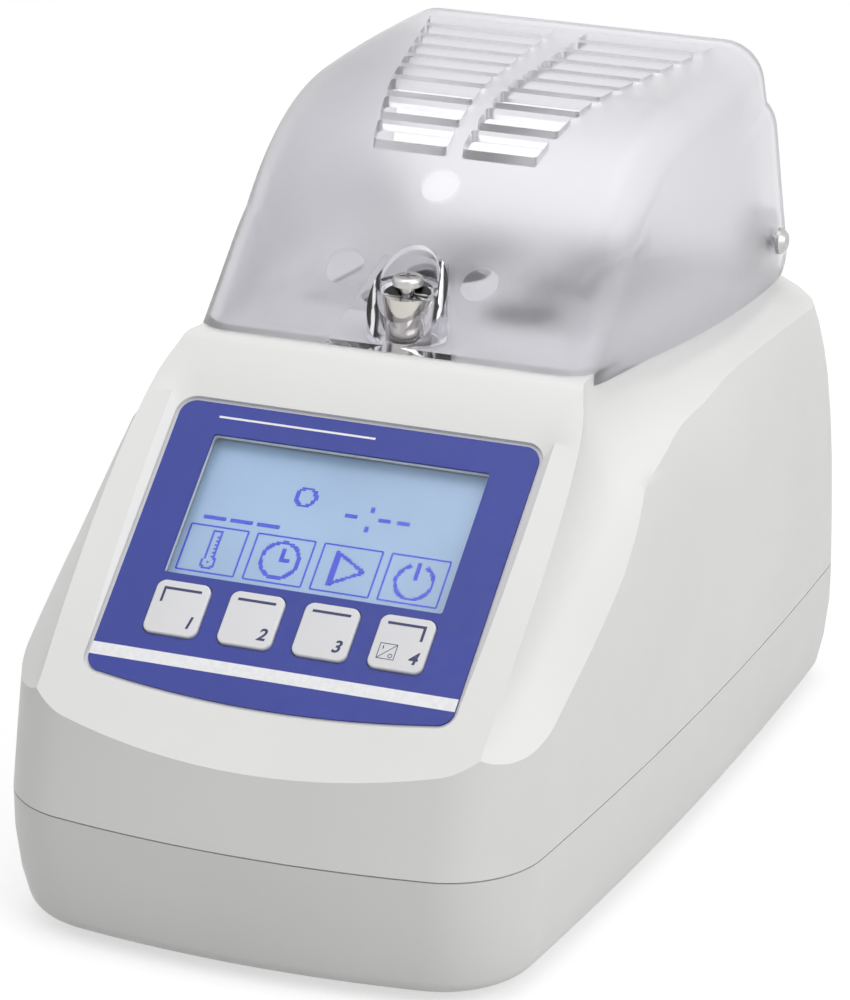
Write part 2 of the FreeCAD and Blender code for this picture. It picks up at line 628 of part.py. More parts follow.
def base_tray():
    """Lower shell: drafted walls, locating lip, bosses and pillars on its floor, recesses below."""
    lowest, rim = size("foot_show"), size("seam_height") - size("seam_gap") / 2
    shell = tray_form(0.0, lowest, rim)
    shell = shell.cut(tray_form(-WALL, FLOOR, rim + 1))
    lip_out = -WALL - size("lip_clearance")
    lip_in = lip_out - size("lip_thickness")
    shell = shell.fuse([seam_ring(rim - size("lip_height"), rim, -WALL + 0.2, lip_in),
                        seam_ring(rim, rim + size("lip_height"), lip_out, lip_in, size("lip_height"))])
    room = tray_form(-0.5, lowest + 0.5, rim)
    bosses = [cylinder(size("boss_radius"), size("boss_split") - lowest - 0.5, x, y, lowest + 0.5).common(room)
              for x, y in SCREW_SPOTS]
    bosses += [cylinder(3.0, size("power_lift") - lowest - 1, x, y, lowest + 1) for x, y in POWER_SPOTS]
    bosses += [cylinder(size("pillar_radius") + 1.2, PILLAR_BASE - lowest - 1, x, y, lowest + 1)
               for x, y in PILLAR_SPOTS]
    cuts = [cylinder(size("screw_radius") + 0.2, 30, x, y, 0) for x, y in SCREW_SPOTS]
    cuts += [cylinder(size("screw_head") + HEAD_ROOM, SCREW_SEAT, x, y, 0) for x, y in SCREW_SPOTS]
    cuts += [cylinder(size("foot_radius") + size("fit"), lowest + size("foot_sink"), x, y, 0)
             for x, y in FOOT_SPOTS]
    cuts += [cylinder(1.2, 10, x, y, size("power_lift") - 6) for x, y in POWER_SPOTS]
    cuts += [cylinder(1.5, 10, x, y, 3.4) for x, y in PILLAR_SPOTS]
    along, face = Vector(0, 1, 0), jack_face()
    seat = cylinder(JACK_SEAT, 20, size("jack_x"), face - JACK_WALL, size("jack_z"), along)
    bosses.append(seat.common(room))
    cuts.append(cylinder(size("jack_radius") + 0.1, 40, size("jack_x"), face - 20, size("jack_z"), along))
    cuts.append(cylinder(size("jack_radius") + 2.2, 20, size("jack_x"), face, size("jack_z"), along))
    feature("base_tray", shell.fuse(bosses).cut(cuts).removeSplitter())


def seam_ring(base, top, outside, inside, rise=0.0):
    """Ring that follows the plan at the seam, between two offsets and two heights; rise makes it lean in."""
    half, front, rear = size("half_width"), size("front_reach"), size("rear_reach")
    above, side, nose, tail = UPPER_DRAW[1]
    lean = rise / above * 1.1
    rings = []
    for grow in (outside, inside):
        wires = [plan_wire(base, half, front, rear, grow),
                 plan_wire(top, half - side * lean, front - nose * lean, rear - tail * lean, grow)]
        rings.append(loft(wires))
    return rings[0].cut(rings[1])


def tray_draw(height):
    """How far the tray's walls have drawn in at a height."""
    depth = size("seam_height") - height
    for (above, start), (below, end) in zip(TRAY_DRAW, TRAY_DRAW[1:]):
        if depth <= below:
            return start + (end - start) * (depth - above) / (below - above)
    return TRAY_DRAW[-1][1]


def jack_face():
    """Where the inlet's flange seats in the tray's rear wall."""
    return size("rear_reach") - tray_draw(size("jack_z")) - JACK_SINK


def hinge_posts():
    """Two rounded posts on the deck that carry the hinge screws."""
    inner_face = size("cheek_half") - size("hood_wall") - size("hinge_gap") - CHEEK_DRAFT
    posts = []
    for side in SIDES:
        start = inner_face - size("hinge_post")
        across = Vector(1, 0, 0)
        round_top = cylinder(size("hinge_post_round"), size("hinge_post"), start, HINGE.y, HINGE.z, across)
        foot = Part.makeBox(size("hinge_post"), 2 * size("hinge_post_round"), HINGE.z - 84,
                            Vector(start, HINGE.y - size("hinge_post_round"), 84))
        post = round_top.fuse(foot)
        posts.append(post if side > 0 else post.mirror(Vector(0, 0, 0), Vector(1, 0, 0)))
    return posts, inner_face


def upper_housing():
    """Upper shell: bowed walls, coved shoulders, panel recess, deck opening, bosses and hinge posts."""
    base = size("seam_height") + size("seam_gap") / 2
    outer = upper_envelope(0.0, base)
    inner = upper_envelope(-WALL, base - 1, inside=True)
    shell = outer.cut(inner)
    posts, post_face = hinge_posts()
    added = list(posts)
    for x, y in SCREW_SPOTS:
        column = cylinder(size("boss_radius"), 100, x, y, size("boss_split"))
        low = cylinder(size("boss_radius"), base + 2 - size("boss_split"), x, y, size("boss_split"))
        added += [column.common(outer), low]
    for x, y in POST_SPOTS:
        post = cylinder(size("post_radius"), size("board_depth") - WALL + 0.5, x, y, -size("board_depth"))
        added.append(placed(post, CONSOLE))
    seat_depth = size("keeper_thick") + 1.6
    keeper_seat = cylinder(size("keeper_radius") + 1.8, seat_depth, 0, size("catch_y"),
                           deck_height(size("catch_y")) - seat_depth - 0.4)
    added.append(keeper_seat)
    shell = shell.fuse(added)
    cuts = []
    for x, y in SCREW_SPOTS:
        cuts.append(cylinder(size("screw_radius") + 0.02, size("screw_long"), x, y, size("boss_split") - 1))
    recess = rounded_plate(LABEL_HALF + size("label_rim"), size("label_side") - size("label_rim"),
                           size("label_top") + size("label_rim"), size("label_corner") + size("label_rim"),
                           size("label_side") - size("label_bottom"), -size("label_sink"), 6)
    cuts += [placed(recess, CONSOLE), placed(label_dish(), CONSOLE)]
    lap = size("pane_lap") + 0.1
    middle = size("view_middle")
    half_view = size("view_height") / 2
    pane_room = rounded_plate(size("view_width") / 2 + lap, middle - half_view - lap, middle + half_view + lap,
                              0.3, 0, -size("label_sink") - size("pane_thick"), 4)
    window = rounded_plate(size("view_width") / 2 + 0.4, middle - half_view - 0.4, middle + half_view + 0.4,
                           0.8, 0, -8, 10)
    cuts += [placed(pane_room, CONSOLE), placed(window, CONSOLE)]
    for centre in key_centres():
        hole = rounded_plate(size("key_width") / 2 + size("key_gap"), -size("key_height") / 2 - size("key_gap"),
                             size("key_height") / 2 + size("key_gap"), size("key_corner") + size("key_gap"),
                             0, -6, 8)
        hole.translate(Vector(centre, size("key_row"), 0))
        cuts.append(placed(hole, CONSOLE))
    for x, y in POST_SPOTS:
        cuts.append(placed(cylinder(1.02, 3.6, x, y, -size("board_depth") - 0.1), CONSOLE))
    clear = size("deck_clearance")
    opening = rounded_plate(size("block_wide") / 2 + clear, -size("block_long") / 2 - clear,
                            size("block_long") / 2 + clear, size("block_corner") + clear, 0, 80, 40)
    opening.translate(Vector(0, BLOCK_MIDDLE, 0))
    cuts.append(opening)
    keeper_y = size("catch_y")
    cuts.append(cylinder(size("keeper_radius") + size("fit"), 10, 0, keeper_y,
                         deck_height(keeper_y) - KEEPER_SINK - size("keeper_thick")))
    for side in SIDES:
        axis = Vector(side, 0, 0)
        cuts.append(cylinder(size("ear_round") + 0.5, 14, side * (post_face + 0.02), HINGE.y, HINGE.z, axis))
        cuts.append(cylinder(size("pivot_radius") + 0.01, 8, side * (post_face - 4.2), HINGE.y, HINGE.z, axis))
    feature("upper_housing", shell.cut(cuts).removeSplitter())


# Clear hood
def hood_profile(top, turn, inset):
    """Side view of the hood: sloping front, large round, flat top; inset by a wall."""
    slope = math.radians(size("hood_slope"))
    along = Vector(0, math.cos(slope), math.sin(slope))
    normal = Vector(0, math.sin(slope), -math.cos(slope))
    foot = Vector(0, size("hood_front_y"), size("hood_front_z")) + normal * inset - along * 30
    level = top - inset
    reach = (turn - inset) * math.tan(slope / 2)
    corner = foot + along * ((level - foot.z) / math.sin(slope))
    leave = corner - along * reach
    arrive = corner + Vector(0, reach, 0)
    centre = arrive - Vector(0, 0, turn - inset)
    middle = centre + Vector(0, -math.sin(slope / 2), math.cos(slope / 2)) * (turn - inset)
    rear = HOOD_REAR + (40 if inset > 0 else 0)
    back_top, back_low = Vector(0, rear, level), Vector(0, rear, foot.z)
    edges = [Part.LineSegment(foot, leave).toShape(), Part.Arc(leave, middle, arrive).toShape(),
             Part.LineSegment(arrive, back_top).toShape(), Part.LineSegment(back_top, back_low).toShape(),
             Part.LineSegment(back_low, foot).toShape()]
    face = Part.Face(Part.Wire(edges))
    face.translate(Vector(-80, 0, 0))
    return face.extrude(Vector(160, 0, 0))


def bowed_sides(low, high, inset):
    """Drafted prism whose two sides are bowed in plan: low and high give (height, half width, bow, apex)."""
    wires = []
    for height, half, bow, apex in (low, high):
        def edge_x(y, half=half, bow=bow, apex=apex):
            return half - inset - bow + math.sqrt(bow ** 2 - (y - apex) ** 2)
        ends = (-60.0, 130.0)
        middle_y = sum(ends) / 2
        corners = [Vector(side * edge_x(y), y, height) for side in SIDES for y in ends]
        left_front, left_rear, right_front, right_rear = corners
        right_mid = Vector(edge_x(middle_y), middle_y, height)
        wires.append(Part.Wire([
            Part.LineSegment(left_front, right_front).toShape(),
            Part.Arc(right_front, right_mid, right_rear).toShape(),
            Part.LineSegment(right_rear, left_rear).toShape(),
            Part.Arc(left_rear, mirrored(right_mid), left_front).toShape()]))
    return loft(wires)


def hood_form(inset):
    """Arch and cheeks of the hood as one solid, inset by a wall."""
    arch_half, arch_bow, apex = size("arch_half"), size("arch_bow"), size("arch_apex")
    arch = bowed_sides((70.0, arch_half + 9.6, arch_bow, apex), (150.0, arch_half - 2.4, arch_bow, apex), inset)
    arch = arch.common(hood_profile(size("hood_top"), size("hood_turn"), inset))
    arch = soften(arch, size("arch_edge") - inset * 0.8)
    cheek_half = size("cheek_half")
    cheeks = bowed_sides((66.0, cheek_half + 3.0, 1400.0, 60.0), (156.0, cheek_half - 6.0, 330.0, 60.0), inset)
    cheeks = cheeks.common(hood_profile(size("cheek_top"), size("cheek_turn"), inset))
    cheeks = soften(cheeks, 8.0 - inset, front_only=True)
    return arch.fuse(cheeks).removeSplitter()


def soften(form, radius, front_only=False):
    """Round the long edges between the sides and the front or top."""
    rear = HOOD_REAR - 0.5
    picked = []
    for edge in form.Edges:
        box = edge.BoundBox
        leaves_floor = box.ZMax > 100 and box.YMin < rear
        runs_across = box.XLength > 30
        if not leaves_floor or runs_across:
            continue
        if front_only and box.YMax > 8:
            continue
        if box.YLength < 0.01 and box.ZLength > 10:
            continue
        picked.append(edge)
    return form.makeFillet(radius, picked)


def hood_slots():
    """Two rows of cross slots that widen towards the rear."""
    cutters = []
    count = int(size("slot_count"))
    pitch = (HOOD_REAR - size("slot_rear_in") - size("slot_wide") - size("slot_first")) / (count - 1)
    for index in range(count):
        share = index / (count - 1)
        step = 1.0 / (count - 1)
        front = size("slot_first") + index * pitch
        rear = front + size("slot_wide")
        outer = [size("slot_out_front") + (size("slot_out_rear") - size("slot_out_front")) * part
                 for part in (share, share + step * 0.7)]
        inner = [size("slot_in_front") + (size("slot_in_rear") - size("slot_in_front")) * part
                 for part in (share, share + step * 0.7)]
        for side in SIDES:
            corners = [Vector(side * inner[0], front, 118), Vector(side * outer[0], front, 118),
                       Vector(side * outer[1], rear, 118), Vector(side * inner[1], rear, 118)]
            slot = Part.Face(Part.makePolygon(corners + corners[:1])).extrude(Vector(0, 0, 30))
            upright_edges = [edge for edge in slot.Edges if edge.BoundBox.ZLength > 20]
            cutters.append(slot.makeFillet(0.8, upright_edges))
    return cutters


def hood():
    """Hinged clear hood: arch, cheeks, vent slots, catch pocket and hinge ears."""
    outer = hood_form(0.0)
    room = hood_form(size("hood_wall"))
    shell = outer.cut(room)
    pocket = cylinder(size("catch_radius"), 40, 0, size("catch_y"), 90).common(outer)
    shell = shell.fuse(pocket)
    floor = size("catch_floor")
    cuts = [cylinder(size("catch_bore"), 30, 0, size("catch_y"), floor + size("catch_floor_thick")),
            cylinder(size("catch_bore"), floor - 90, 0, size("catch_y"), 90),
            cylinder(1.7, 20, 0, size("catch_y"), 95)]
    cuts.append(upper_envelope(size("hood_gap"), 60.0))
    cuts.append(deck_slab(size("hood_hang"), 60))
    cuts += hood_slots()
    span = 2 * size("cheek_half") + 20
    bore = size("pivot_radius") + size("pivot_clearance")
    cuts.append(cylinder(bore, span, -span / 2, HINGE.y, HINGE.z, Vector(1, 0, 0)))
    low_rear = Part.makeBox(200, 40, 40, Vector(-100, HINGE.y, HINGE.z - 40))
    round_ear = cylinder(size("ear_round"), 200, -100, HINGE.y, HINGE.z, Vector(1, 0, 0))
    cuts.append(low_rear.cut(round_ear))
    under_ear = Part.makeBox(200, 12, 20, Vector(-100, HINGE.y - 12, HINGE.z - size("ear_round") - 20))
    cuts.append(under_ear)
    feature("hood", shell.cut(cuts).removeSplitter())


# Catch
def catch():
    """Magnet and its screw on the hood, keeper disc in the deck."""
    keeper_top = deck_height(size("catch_y")) - KEEPER_SINK
    magnet_base = keeper_top + size("magnet_gap")
    magnet_high = size("catch_floor") - magnet_base
    magnet = doc.addObject("Part::Cylinder", "catch_magnet")
    magnet.setExpression("Radius", "Sizes.magnet_radius")
    magnet.Height = magnet_high
    keep("catch_magnet", magnet, at(0, size("catch_y"), magnet_base))
    keeper = doc.addObject("Part::Cylinder", "catch_keeper")
    keeper.setExpression("Radius", "Sizes.keeper_radius")
    keeper.setExpression("Height", "Sizes.keeper_thick")
    keep("catch_keeper", keeper, at(0, size("catch_y"), keeper_top - size("keeper_thick")))
    floor_top = size("catch_floor") + size("catch_floor_thick")
    head = cylinder(3.0, 1.7, 0, 0, 0)
    head = head.makeFillet(0.8, [edge for edge in head.Edges if edge.BoundBox.ZMin > 1.6])
    shank = cylinder(1.5, size("catch_floor_thick"), 0, 0, -size("catch_floor_thick"))
    screw = head.fuse(shank)
    for angle in (0, 90):
        cross = Part.makeBox(3.2, 0.7, 1.0, Vector(-1.6, -0.35, 0.9))
        cross.rotate(Vector(0, 0, 0), Vector(0, 0, 1), angle + 20)
        screw = screw.cut(cross)
    feature("catch_screw", screw.removeSplitter(), at(0, size("catch_y"), floor_top))


def hinge_screws():
    """Shoulder screws with dome heads, one through each ear into its post."""
    posts, post_face = hinge_posts()
    outside = size("cheek_half") + 0.1
    ear = "( %.3f )" % (outside - post_face)
    depth = "( %.3f )" % 4.0
    master = turned("hinge_screw_master", [
        ("0", "-" + depth), ("pivot_radius", "-" + depth), ("pivot_radius", ear), ("pivot_head", ear),
        ("pivot_head", ear + " + 0.7"), ("pivot_head * 0.62", ear + " + 1.7"), ("0", ear + " + 2.1")])
    places = [Placement(Vector(side * post_face, HINGE.y, HINGE.z), Rotation(Vector(0, 1, 0), 90 * side))
              for side in SIDES]
    group("hinge_screws", master, places)


def rubber_feet():
    """Four feet with a chamfered rim, each in a shallow recess."""
    master = turned("foot_master", [
        ("0", "0"), ("foot_radius - 0.8", "0"), ("foot_radius", "0.8"),
        ("foot_radius", "foot_show + foot_sink"), ("0", "foot_show + foot_sink")])
    group("rubber_feet", master, [at(x, y, 0) for x, y in FOOT_SPOTS])


def housing_screws():
    """Four screws from below through the tray into the upper shell."""
    master = turned("housing_screw_master", [
        ("0", "0 - screw_head_high"), ("screw_head - 0.5", "0 - screw_head_high"),
        ("screw_head", "0.6 - screw_head_high"), ("screw_head", "0"), ("screw_radius", "0"),
        ("screw_radius", "screw_long - 0.8"), ("screw_radius - 0.8", "screw_long"), ("0", "screw_long")])
    group("housing_screws", master, [at(x, y, SCREW_SEAT) for x, y in SCREW_SPOTS])


# Control panel
def front_foil():
    """Printed foil with the display window and four key holes."""
    foil = rounded_plate(LABEL_HALF, size("label_side"), size("label_top"), size("label_corner"),
                         size("label_side") - size("label_bottom"), -size("label_sink"), size("label_thick"))
    half = size("view_height") / 2
    window = rounded_plate(size("view_width") / 2, size("view_middle") - half, size("view_middle") + half,
                           0.6, 0, -3, 6)
    foil = foil.cut(window)
    for centre in key_centres():
        hole = rounded_plate(size("key_width") / 2 + size("key_gap"), -size("key_height") / 2 - size("key_gap"),
                             size("key_height") / 2 + size("key_gap"), size("key_corner") + size("key_gap"),
                             0, -3, 6)
        hole.translate(Vector(centre, size("key_row"), 0))
        foil = foil.cut(hole)
    feature("front_foil", foil, CONSOLE)


def panel_plate(name, half_x, low, high, base, height):
    """Rectangular piece lying in the panel's frame."""
    piece = body(name)
    block_pad(piece, name + "_outline", "-( %s )" % half_x, half_x, low, high, base, height)
    return piece


def keys():
    """Four caps, each with two side flanges that hold it under the panel."""
    for index, centre in enumerate(key_centres(), start=1):
        name = "key_%d" % index
        piece = body(name)
        top_to_flange = "key_proud + wall + 0.2"
        block_pad(piece, name + "_cap", "0 - key_width / 2", "key_width / 2", "0 - key_height / 2",
                  "key_height / 2", "0 - wall - 0.2", top_to_flange)
        round_edges(piece, name + "_corners", "key_corner", upright)
        block_pad(piece, name + "_flange", "0 - key_width / 2 - key_flange", "key_width / 2 + key_flange",
                  "0 - key_height / 2 + 1", "key_height / 2 - 1", "0 - wall - 0.2 - key_flange_thick",
                  "key_flange_thick")
        top = size("key_proud")
        round_edges(piece, name + "_rim", "key_proud * 1.2",
                    lambda edge, top=top: abs(edge.BoundBox.ZMin - top) < 1e-4 and edge.BoundBox.ZLength < 1e-4)
        doc.recompute()
        keep(name, piece, CONSOLE * at(centre, size("key_row"), 0))


def display():
    """Window pane, display glass, sheet frame and backlight, stacked on the control board."""
    half = "view_width / 2"
    low, high = "view_middle - view_height / 2", "view_middle + view_height / 2"
    pane = panel_plate("display_window", half + " + pane_lap", low + " - pane_lap", high + " + pane_lap",
                       "0 - label_sink - pane_thick", "pane_thick")
    keep("display_window", pane, CONSOLE)
    board = "0 - board_depth"
    light = panel_plate("display_backlight", half + " + 1.6", low + " - 0.6", high + " + 2", board,
                        "light_thick")
    keep("display_backlight", light, CONSOLE)
    glass = panel_plate("display_glass", half + " + 1.6", low + " - 0.6", high + " + 2",
                        board + " + light_thick", "glass_thick")
    keep("display_glass", glass, CONSOLE)
    frame = panel_plate("display_frame", half + " + 2.2", low + " - 1.15", high + " + 2.6",
                        board, "light_thick + glass_thick + frame_wall")
    for name, side, below, above, base in (
            ("well", " + 1.65", " - 0.65", " + 2.05", board),
            ("aperture", " + 0.5", " - 0.35", " + 0.4", board + " + light_thick")):
        drawing = sketch(frame, "display_frame_" + name, lift=sheet_text(base))
        rectangle(drawing, "-( %s%s )" % (half, side), half + side, low + below, high + above)
        step = pad(frame, drawing, "light_thick + glass_thick + 0.05" if name == "well" else "glass_thick + 2",
                   "PartDesign::Pocket")
        step.Reversed = True
    keep("display_frame", frame, CONSOLE)


def control_board():
    """Board behind the panel with its switches, parts and screws."""
    board = panel_plate("control_board", "view_width / 2 + board_margin", "board_bottom", "board_top",
                        "0 - board_depth - board_thick", "board_thick")
    for index, (side, row) in enumerate((side, row) for row in ("post_top", "post_bottom") for side in "-+"):
        drawing = sketch(board, "control_board_hole_%d" % index, lift=sheet_text("0 - board_depth"))
        circle(drawing, "1.15", "0 %s ( view_width / 2 + post_margin )" % side, row)
        pad(board, drawing, "board_thick * 2", "PartDesign::Pocket")
    keep("control_board", board, CONSOLE)
    switch = Part.makeBox(6, 6, 3.0, Vector(-3, -3, 0)).fuse(cylinder(1.7, 0.65, 0, 0, 3.0))
    switch = switch.makeFillet(0.5, [edge for edge in switch.Edges if edge.BoundBox.ZLength > 2.9])
    switches = [switch.translated(Vector(centre, size("key_row"), 0)) for centre in key_centres()]
    face = -size("board_depth")
    feature("key_switches", Part.makeCompound(switches), CONSOLE * at(0, 0, face))
    back = face - size("board_thick")
    chips = [Part.makeBox(14, 14, 1.4, Vector(-7, -14, -1.4)), Part.makeBox(6, 4, 1.2, Vector(16, -4, -1.2)),
             Part.makeBox(5, 4, 1.5, Vector(-24, 2, -1.5)), Part.makeBox(20, 5.6, 6.0, Vector(-10, -36, -6.0)),
             Part.makeCylinder(6.0, 7.0, Vector(24, -20, -7.0))]
    chips = [chip.makeFillet(0.3, chip.Edges[:4]) if chip.Volume < 400 and len(chip.Faces) == 6 else chip
             for chip in chips]
    feature("control_board_parts", Part.makeCompound(chips), CONSOLE * at(0, 0, back))
    screw = cylinder(1.0, 4.6, 0, 0, 0).fuse(cylinder(1.9, 1.3, 0, 0, -1.3))
    screws = [screw.translated(Vector(x, y, 0)) for x, y in POST_SPOTS]
    feature("control_board_screws", Part.makeCompound(screws), CONSOLE * at(0, 0, back))


# Heater
def well_spots():
    """Middles of the six tube wells, two across and three along."""
    return [(side * size("well_across") / 2, BLOCK_MIDDLE + row * size("well_along"))
            for row in (-1, 0, 1) for side in SIDES]


def deck_slab(sink, thick):
    """Slab parallel to the deck, its top sunk below it."""
    low, high = -60, 140
    corners = [Vector(-60, low, deck_height(low, -sink - thick)),
               Vector(-60, high, deck_height(high, -sink - thick)),
               Vector(-60, high, deck_height(high, -sink)), Vector(-60, low, deck_height(low, -sink))]
    return Part.Face(Part.makePolygon(corners + corners[:1])).extrude(Vector(120, 0, 0))


def heating_block():
    """Aluminium block with six wells through it, on a base plate that closes them."""
    half_long = size("block_long") / 2
    form = rounded_plate(size("block_wide") / 2, -half_long, half_long, size("block_corner"), 0,
                         size("block_base"), 90)
    form.translate(Vector(0, BLOCK_MIDDLE, 0))
    form = form.cut(deck_slab(size("block_drop") - 60, 60))
    bores = [cylinder(size("heater_radius") + size("fit"), size("heater_long"), 0,
                      BLOCK_MIDDLE + side * size("heater_off"), size("block_base")) for side in SIDES]
    bores.append(cylinder(size("sensor_radius") + size("fit"), size("sensor_long"), 0, BLOCK_MIDDLE,
                          size("block_base")))
    form = form.cut(bores)
    lower = Part.makeBox(300, 300, size("well_floor"), Vector(-150, -150, 0))
    feature("block_base", form.common(lower))
    wells = [cylinder(size("well_radius"), 80, x, y, size("well_floor") - 1) for x, y in well_spots()]
    feature("heating_block", form.cut([lower] + wells))
    half = size("block_wide") / 2 - 0.2
    cover = rounded_plate(half, 0.2 - half_long, half_long - 0.2, size("block_corner") - 0.2, 0,
                          size("block_base"), 90)
    cover.translate(Vector(0, BLOCK_MIDDLE, 0))
    cover = cover.common(deck_slab(size("block_drop") - size("cover_thick"), size("cover_thick")))
    for x, y in well_spots():
        cover = cover.cut(cylinder(size("well_radius") + size("cover_relief"), 80, x, y, size("well_floor")))
    feature("block_cover", cover)


def heater_parts():
    """Cartridges, sensor, cut-out, insulation and the sheet that carries the block."""
    middle, base = BLOCK_MIDDLE, size("block_base")
    cartridges = [cylinder(size("heater_radius"), size("heater_long") - 0.4, 0,
                           middle + side * size("heater_off"), base) for side in SIDES]
    feature("cartridge_heaters", Part.makeCompound(cartridges))
    sensor = doc.addObject("Part::Cylinder", "temperature_sensor")
    sensor.setExpression("Radius", "Sizes.sensor_radius")
    sensor.setExpression("Height", "Sizes.sensor_long - 0.4")
    keep("temperature_sensor", sensor, at(0, middle, base))
    half_wide, half_long = size("block_wide") / 2, size("block_long") / 2
    gap, thick = size("jacket_gap"), size("jacket_thick")
    jacket_top = deck_height(middle + half_long + thick) - WALL - 2.5
    jacket = rounded_plate(half_wide + gap + thick, -half_long - gap - thick, half_long + gap + thick,
                           size("block_corner") + gap + thick, 0, base, jacket_top - base)
    room = rounded_plate(half_wide + gap, -half_long - gap, half_long + gap, size("block_corner") + gap,
                         0, base - 1, jacket_top - base + 2)
    jacket = jacket.cut(room)
    cutout_z = base + 18
    window = Part.makeBox(18, 14, 14, Vector(-9, -half_long - gap - thick - 1, cutout_z - 7))
    jacket = jacket.cut(window)
    jacket.translate(Vector(0, middle, 0))
    feature("block_insulation", jacket)
    cutout = Part.makeBox(14, 4.2, 10, Vector(-7, middle - half_long - 4.2, cutout_z - 5))
    cutout = cutout.makeFillet(0.6, [edge for edge in cutout.Edges if edge.BoundBox.ZLength > 9])
    feature("thermal_cutout", cutout)
    pad_half = half_wide - 1
    pad_piece = rounded_plate(pad_half, 1 - half_long, half_long - 1, 3, 0, BRACKET_TOP, size("pad_thick"))
    pad_piece.translate(Vector(0, middle, 0))
    feature("block_pad", pad_piece)
    sheet_piece = rounded_plate(size("bracket_wide") / 2, -size("bracket_long") / 2, size("bracket_long") / 2,
                                4, 0, BRACKET_BASE, size("bracket_thick"))
    sheet_piece.translate(Vector(0, middle, 0))
    for x, y in PILLAR_SPOTS:
        sheet_piece = sheet_piece.cut(cylinder(1.7, 10, x, y, BRACKET_BASE - 2))
    feature("block_bracket", sheet_piece)
    pillars = [cylinder(size("pillar_radius"), BRACKET_BASE - PILLAR_BASE, x, y, PILLAR_BASE)
               for x, y in PILLAR_SPOTS]
    studs = [cylinder(1.48, 4.0, x, y, PILLAR_BASE - 4.0) for x, y in PILLAR_SPOTS]
    joined = [pillar.fuse(stud).cut(cylinder(1.5, 6, x, y, BRACKET_BASE - 6))
              for pillar, stud, (x, y) in zip(pillars, studs, PILLAR_SPOTS)]
    feature("bracket_pillars", Part.makeCompound(joined))
    screw = cylinder(2.8, 1.8, 0, 0, 0).fuse(cylinder(1.48, 6.6, 0, 0, -6.6))
    screws = [screw.translated(Vector(x, y, BRACKET_TOP)) for x, y in PILLAR_SPOTS]
    feature("bracket_screws", Part.makeCompound(screws))


# Power
def power_parts():
    """Power board on the tray's floor, its parts and screws, and the inlet in the rear wall."""
    board = body("power_board")
    block_pad(board, "power_board_outline", "0 - power_wide / 2", "power_wide / 2", "power_middle - power_long / 2",
              "power_middle + power_long / 2", "power_lift", "board_thick")
    for index, (side, end) in enumerate((side, end) for side in "-+" for end in "-+"):
        drawing = sketch(board, "power_board_hole_%d" % index, lift=sheet_text("power_lift + board_thick"))
        circle(drawing, "1.7", "0 %s ( power_wide / 2 - 4 )" % side,
               "power_middle %s ( power_long / 2 - 4 )" % end)
        pad(board, drawing, "board_thick * 2", "PartDesign::Pocket")
    keep("power_board", board)
    top = size("power_lift") + size("board_thick")
    middle = size("power_middle")
    items = [cylinder(5.0, 12.5, -20, middle + 14, top), cylinder(5.0, 12.5, -8, middle + 14, top),
             Part.makeBox(12, 12, 6, Vector(8, middle + 6, top)),
             Part.makeBox(15, 8, 10, Vector(-28.5, middle + 19.5, top)),
             Part.makeBox(26, 3, 13, Vector(0, middle - 18, top)),
             Part.makeBox(20, 5.6, 8, Vector(-10, middle - 27, top)),
             Part.makeBox(9, 7, 2, Vector(-26, middle - 12, top)),
             Part.makeBox(11, 7.6, 10, Vector(16, middle + 19.5, top))]
    feature("power_board_parts", Part.makeCompound(items))
    screw = cylinder(2.6, 1.8, 0, 0, 0).fuse(cylinder(1.18, 7.0, 0, 0, -7.0))
    screws = [screw.translated(Vector(x, y, top)) for x, y in POWER_SPOTS]
    feature("power_board_screws", Part.makeCompound(screws))
    face = jack_face()
    jack = turned("power_jack", [
        ("jack_pin", "2"), ("jack_pin", "11"), ("0", "11.6"), ("0", "0"), ("jack_radius + 0.6", "0"),
        ("jack_radius + 0.6", "6.5"), ("jack_radius", "6.5"), ("jack_radius", "12"),
        ("jack_radius + 2", "12"), ("jack_radius + 2", "13.2"), ("jack_bore", "13.2"), ("jack_bore", "2")])
    keep("power_jack", jack, Placement(Vector(size("jack_x"), face - 12, size("jack_z")),
                                       Rotation(Vector(1, 0, 0), -90)))
    nut = Part.makePolygon([Vector(6.0 * math.cos(math.radians(60 * k)), 6.0 * math.sin(math.radians(60 * k)), 0)
                            for k in range(7)])
    nut = Part.Face(nut).extrude(Vector(0, 0, 2.0)).cut(cylinder(size("jack_radius") + 0.02, 2, 0, 0, 0))
    feature("jack_nut", nut, Placement(Vector(size("jack_x"), face - JACK_WALL - 2.0, size("jack_z")),
                                       Rotation(Vector(1, 0, 0), -90)))


def check_and_write():
    """Every object is free of errors and every piece is a sound solid before it is written."""
    doc.recompute()
    for item in doc.Objects:
        for word in ("Invalid", "Error"):
            if word in item.State:
                raise RuntimeError("%s is in state %s" % (item.Name, item.State))
    os.makedirs("parts", exist_ok=True)
    for name, piece in parts:
        shape = piece.Shape
        if shape.isNull() or not shape.isValid() or not shape.Solids:
            raise RuntimeError("%s has no sound solid" % name)
        shape.exportStep("parts/%s.step" % name)
        print("%-22s solids %d volume %.1f" % (name, len(shape.Solids), shape.Volume))


base_tray()
upper_housing()
rubber_feet()
housing_screws()
hood()
catch()
hinge_screws()
front_foil()
keys()
display()
control_board()
heating_block()
heater_parts()
power_parts()
check_and_write()
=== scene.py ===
import math

import bmesh
import bpy
from mathutils import Matrix, Vector


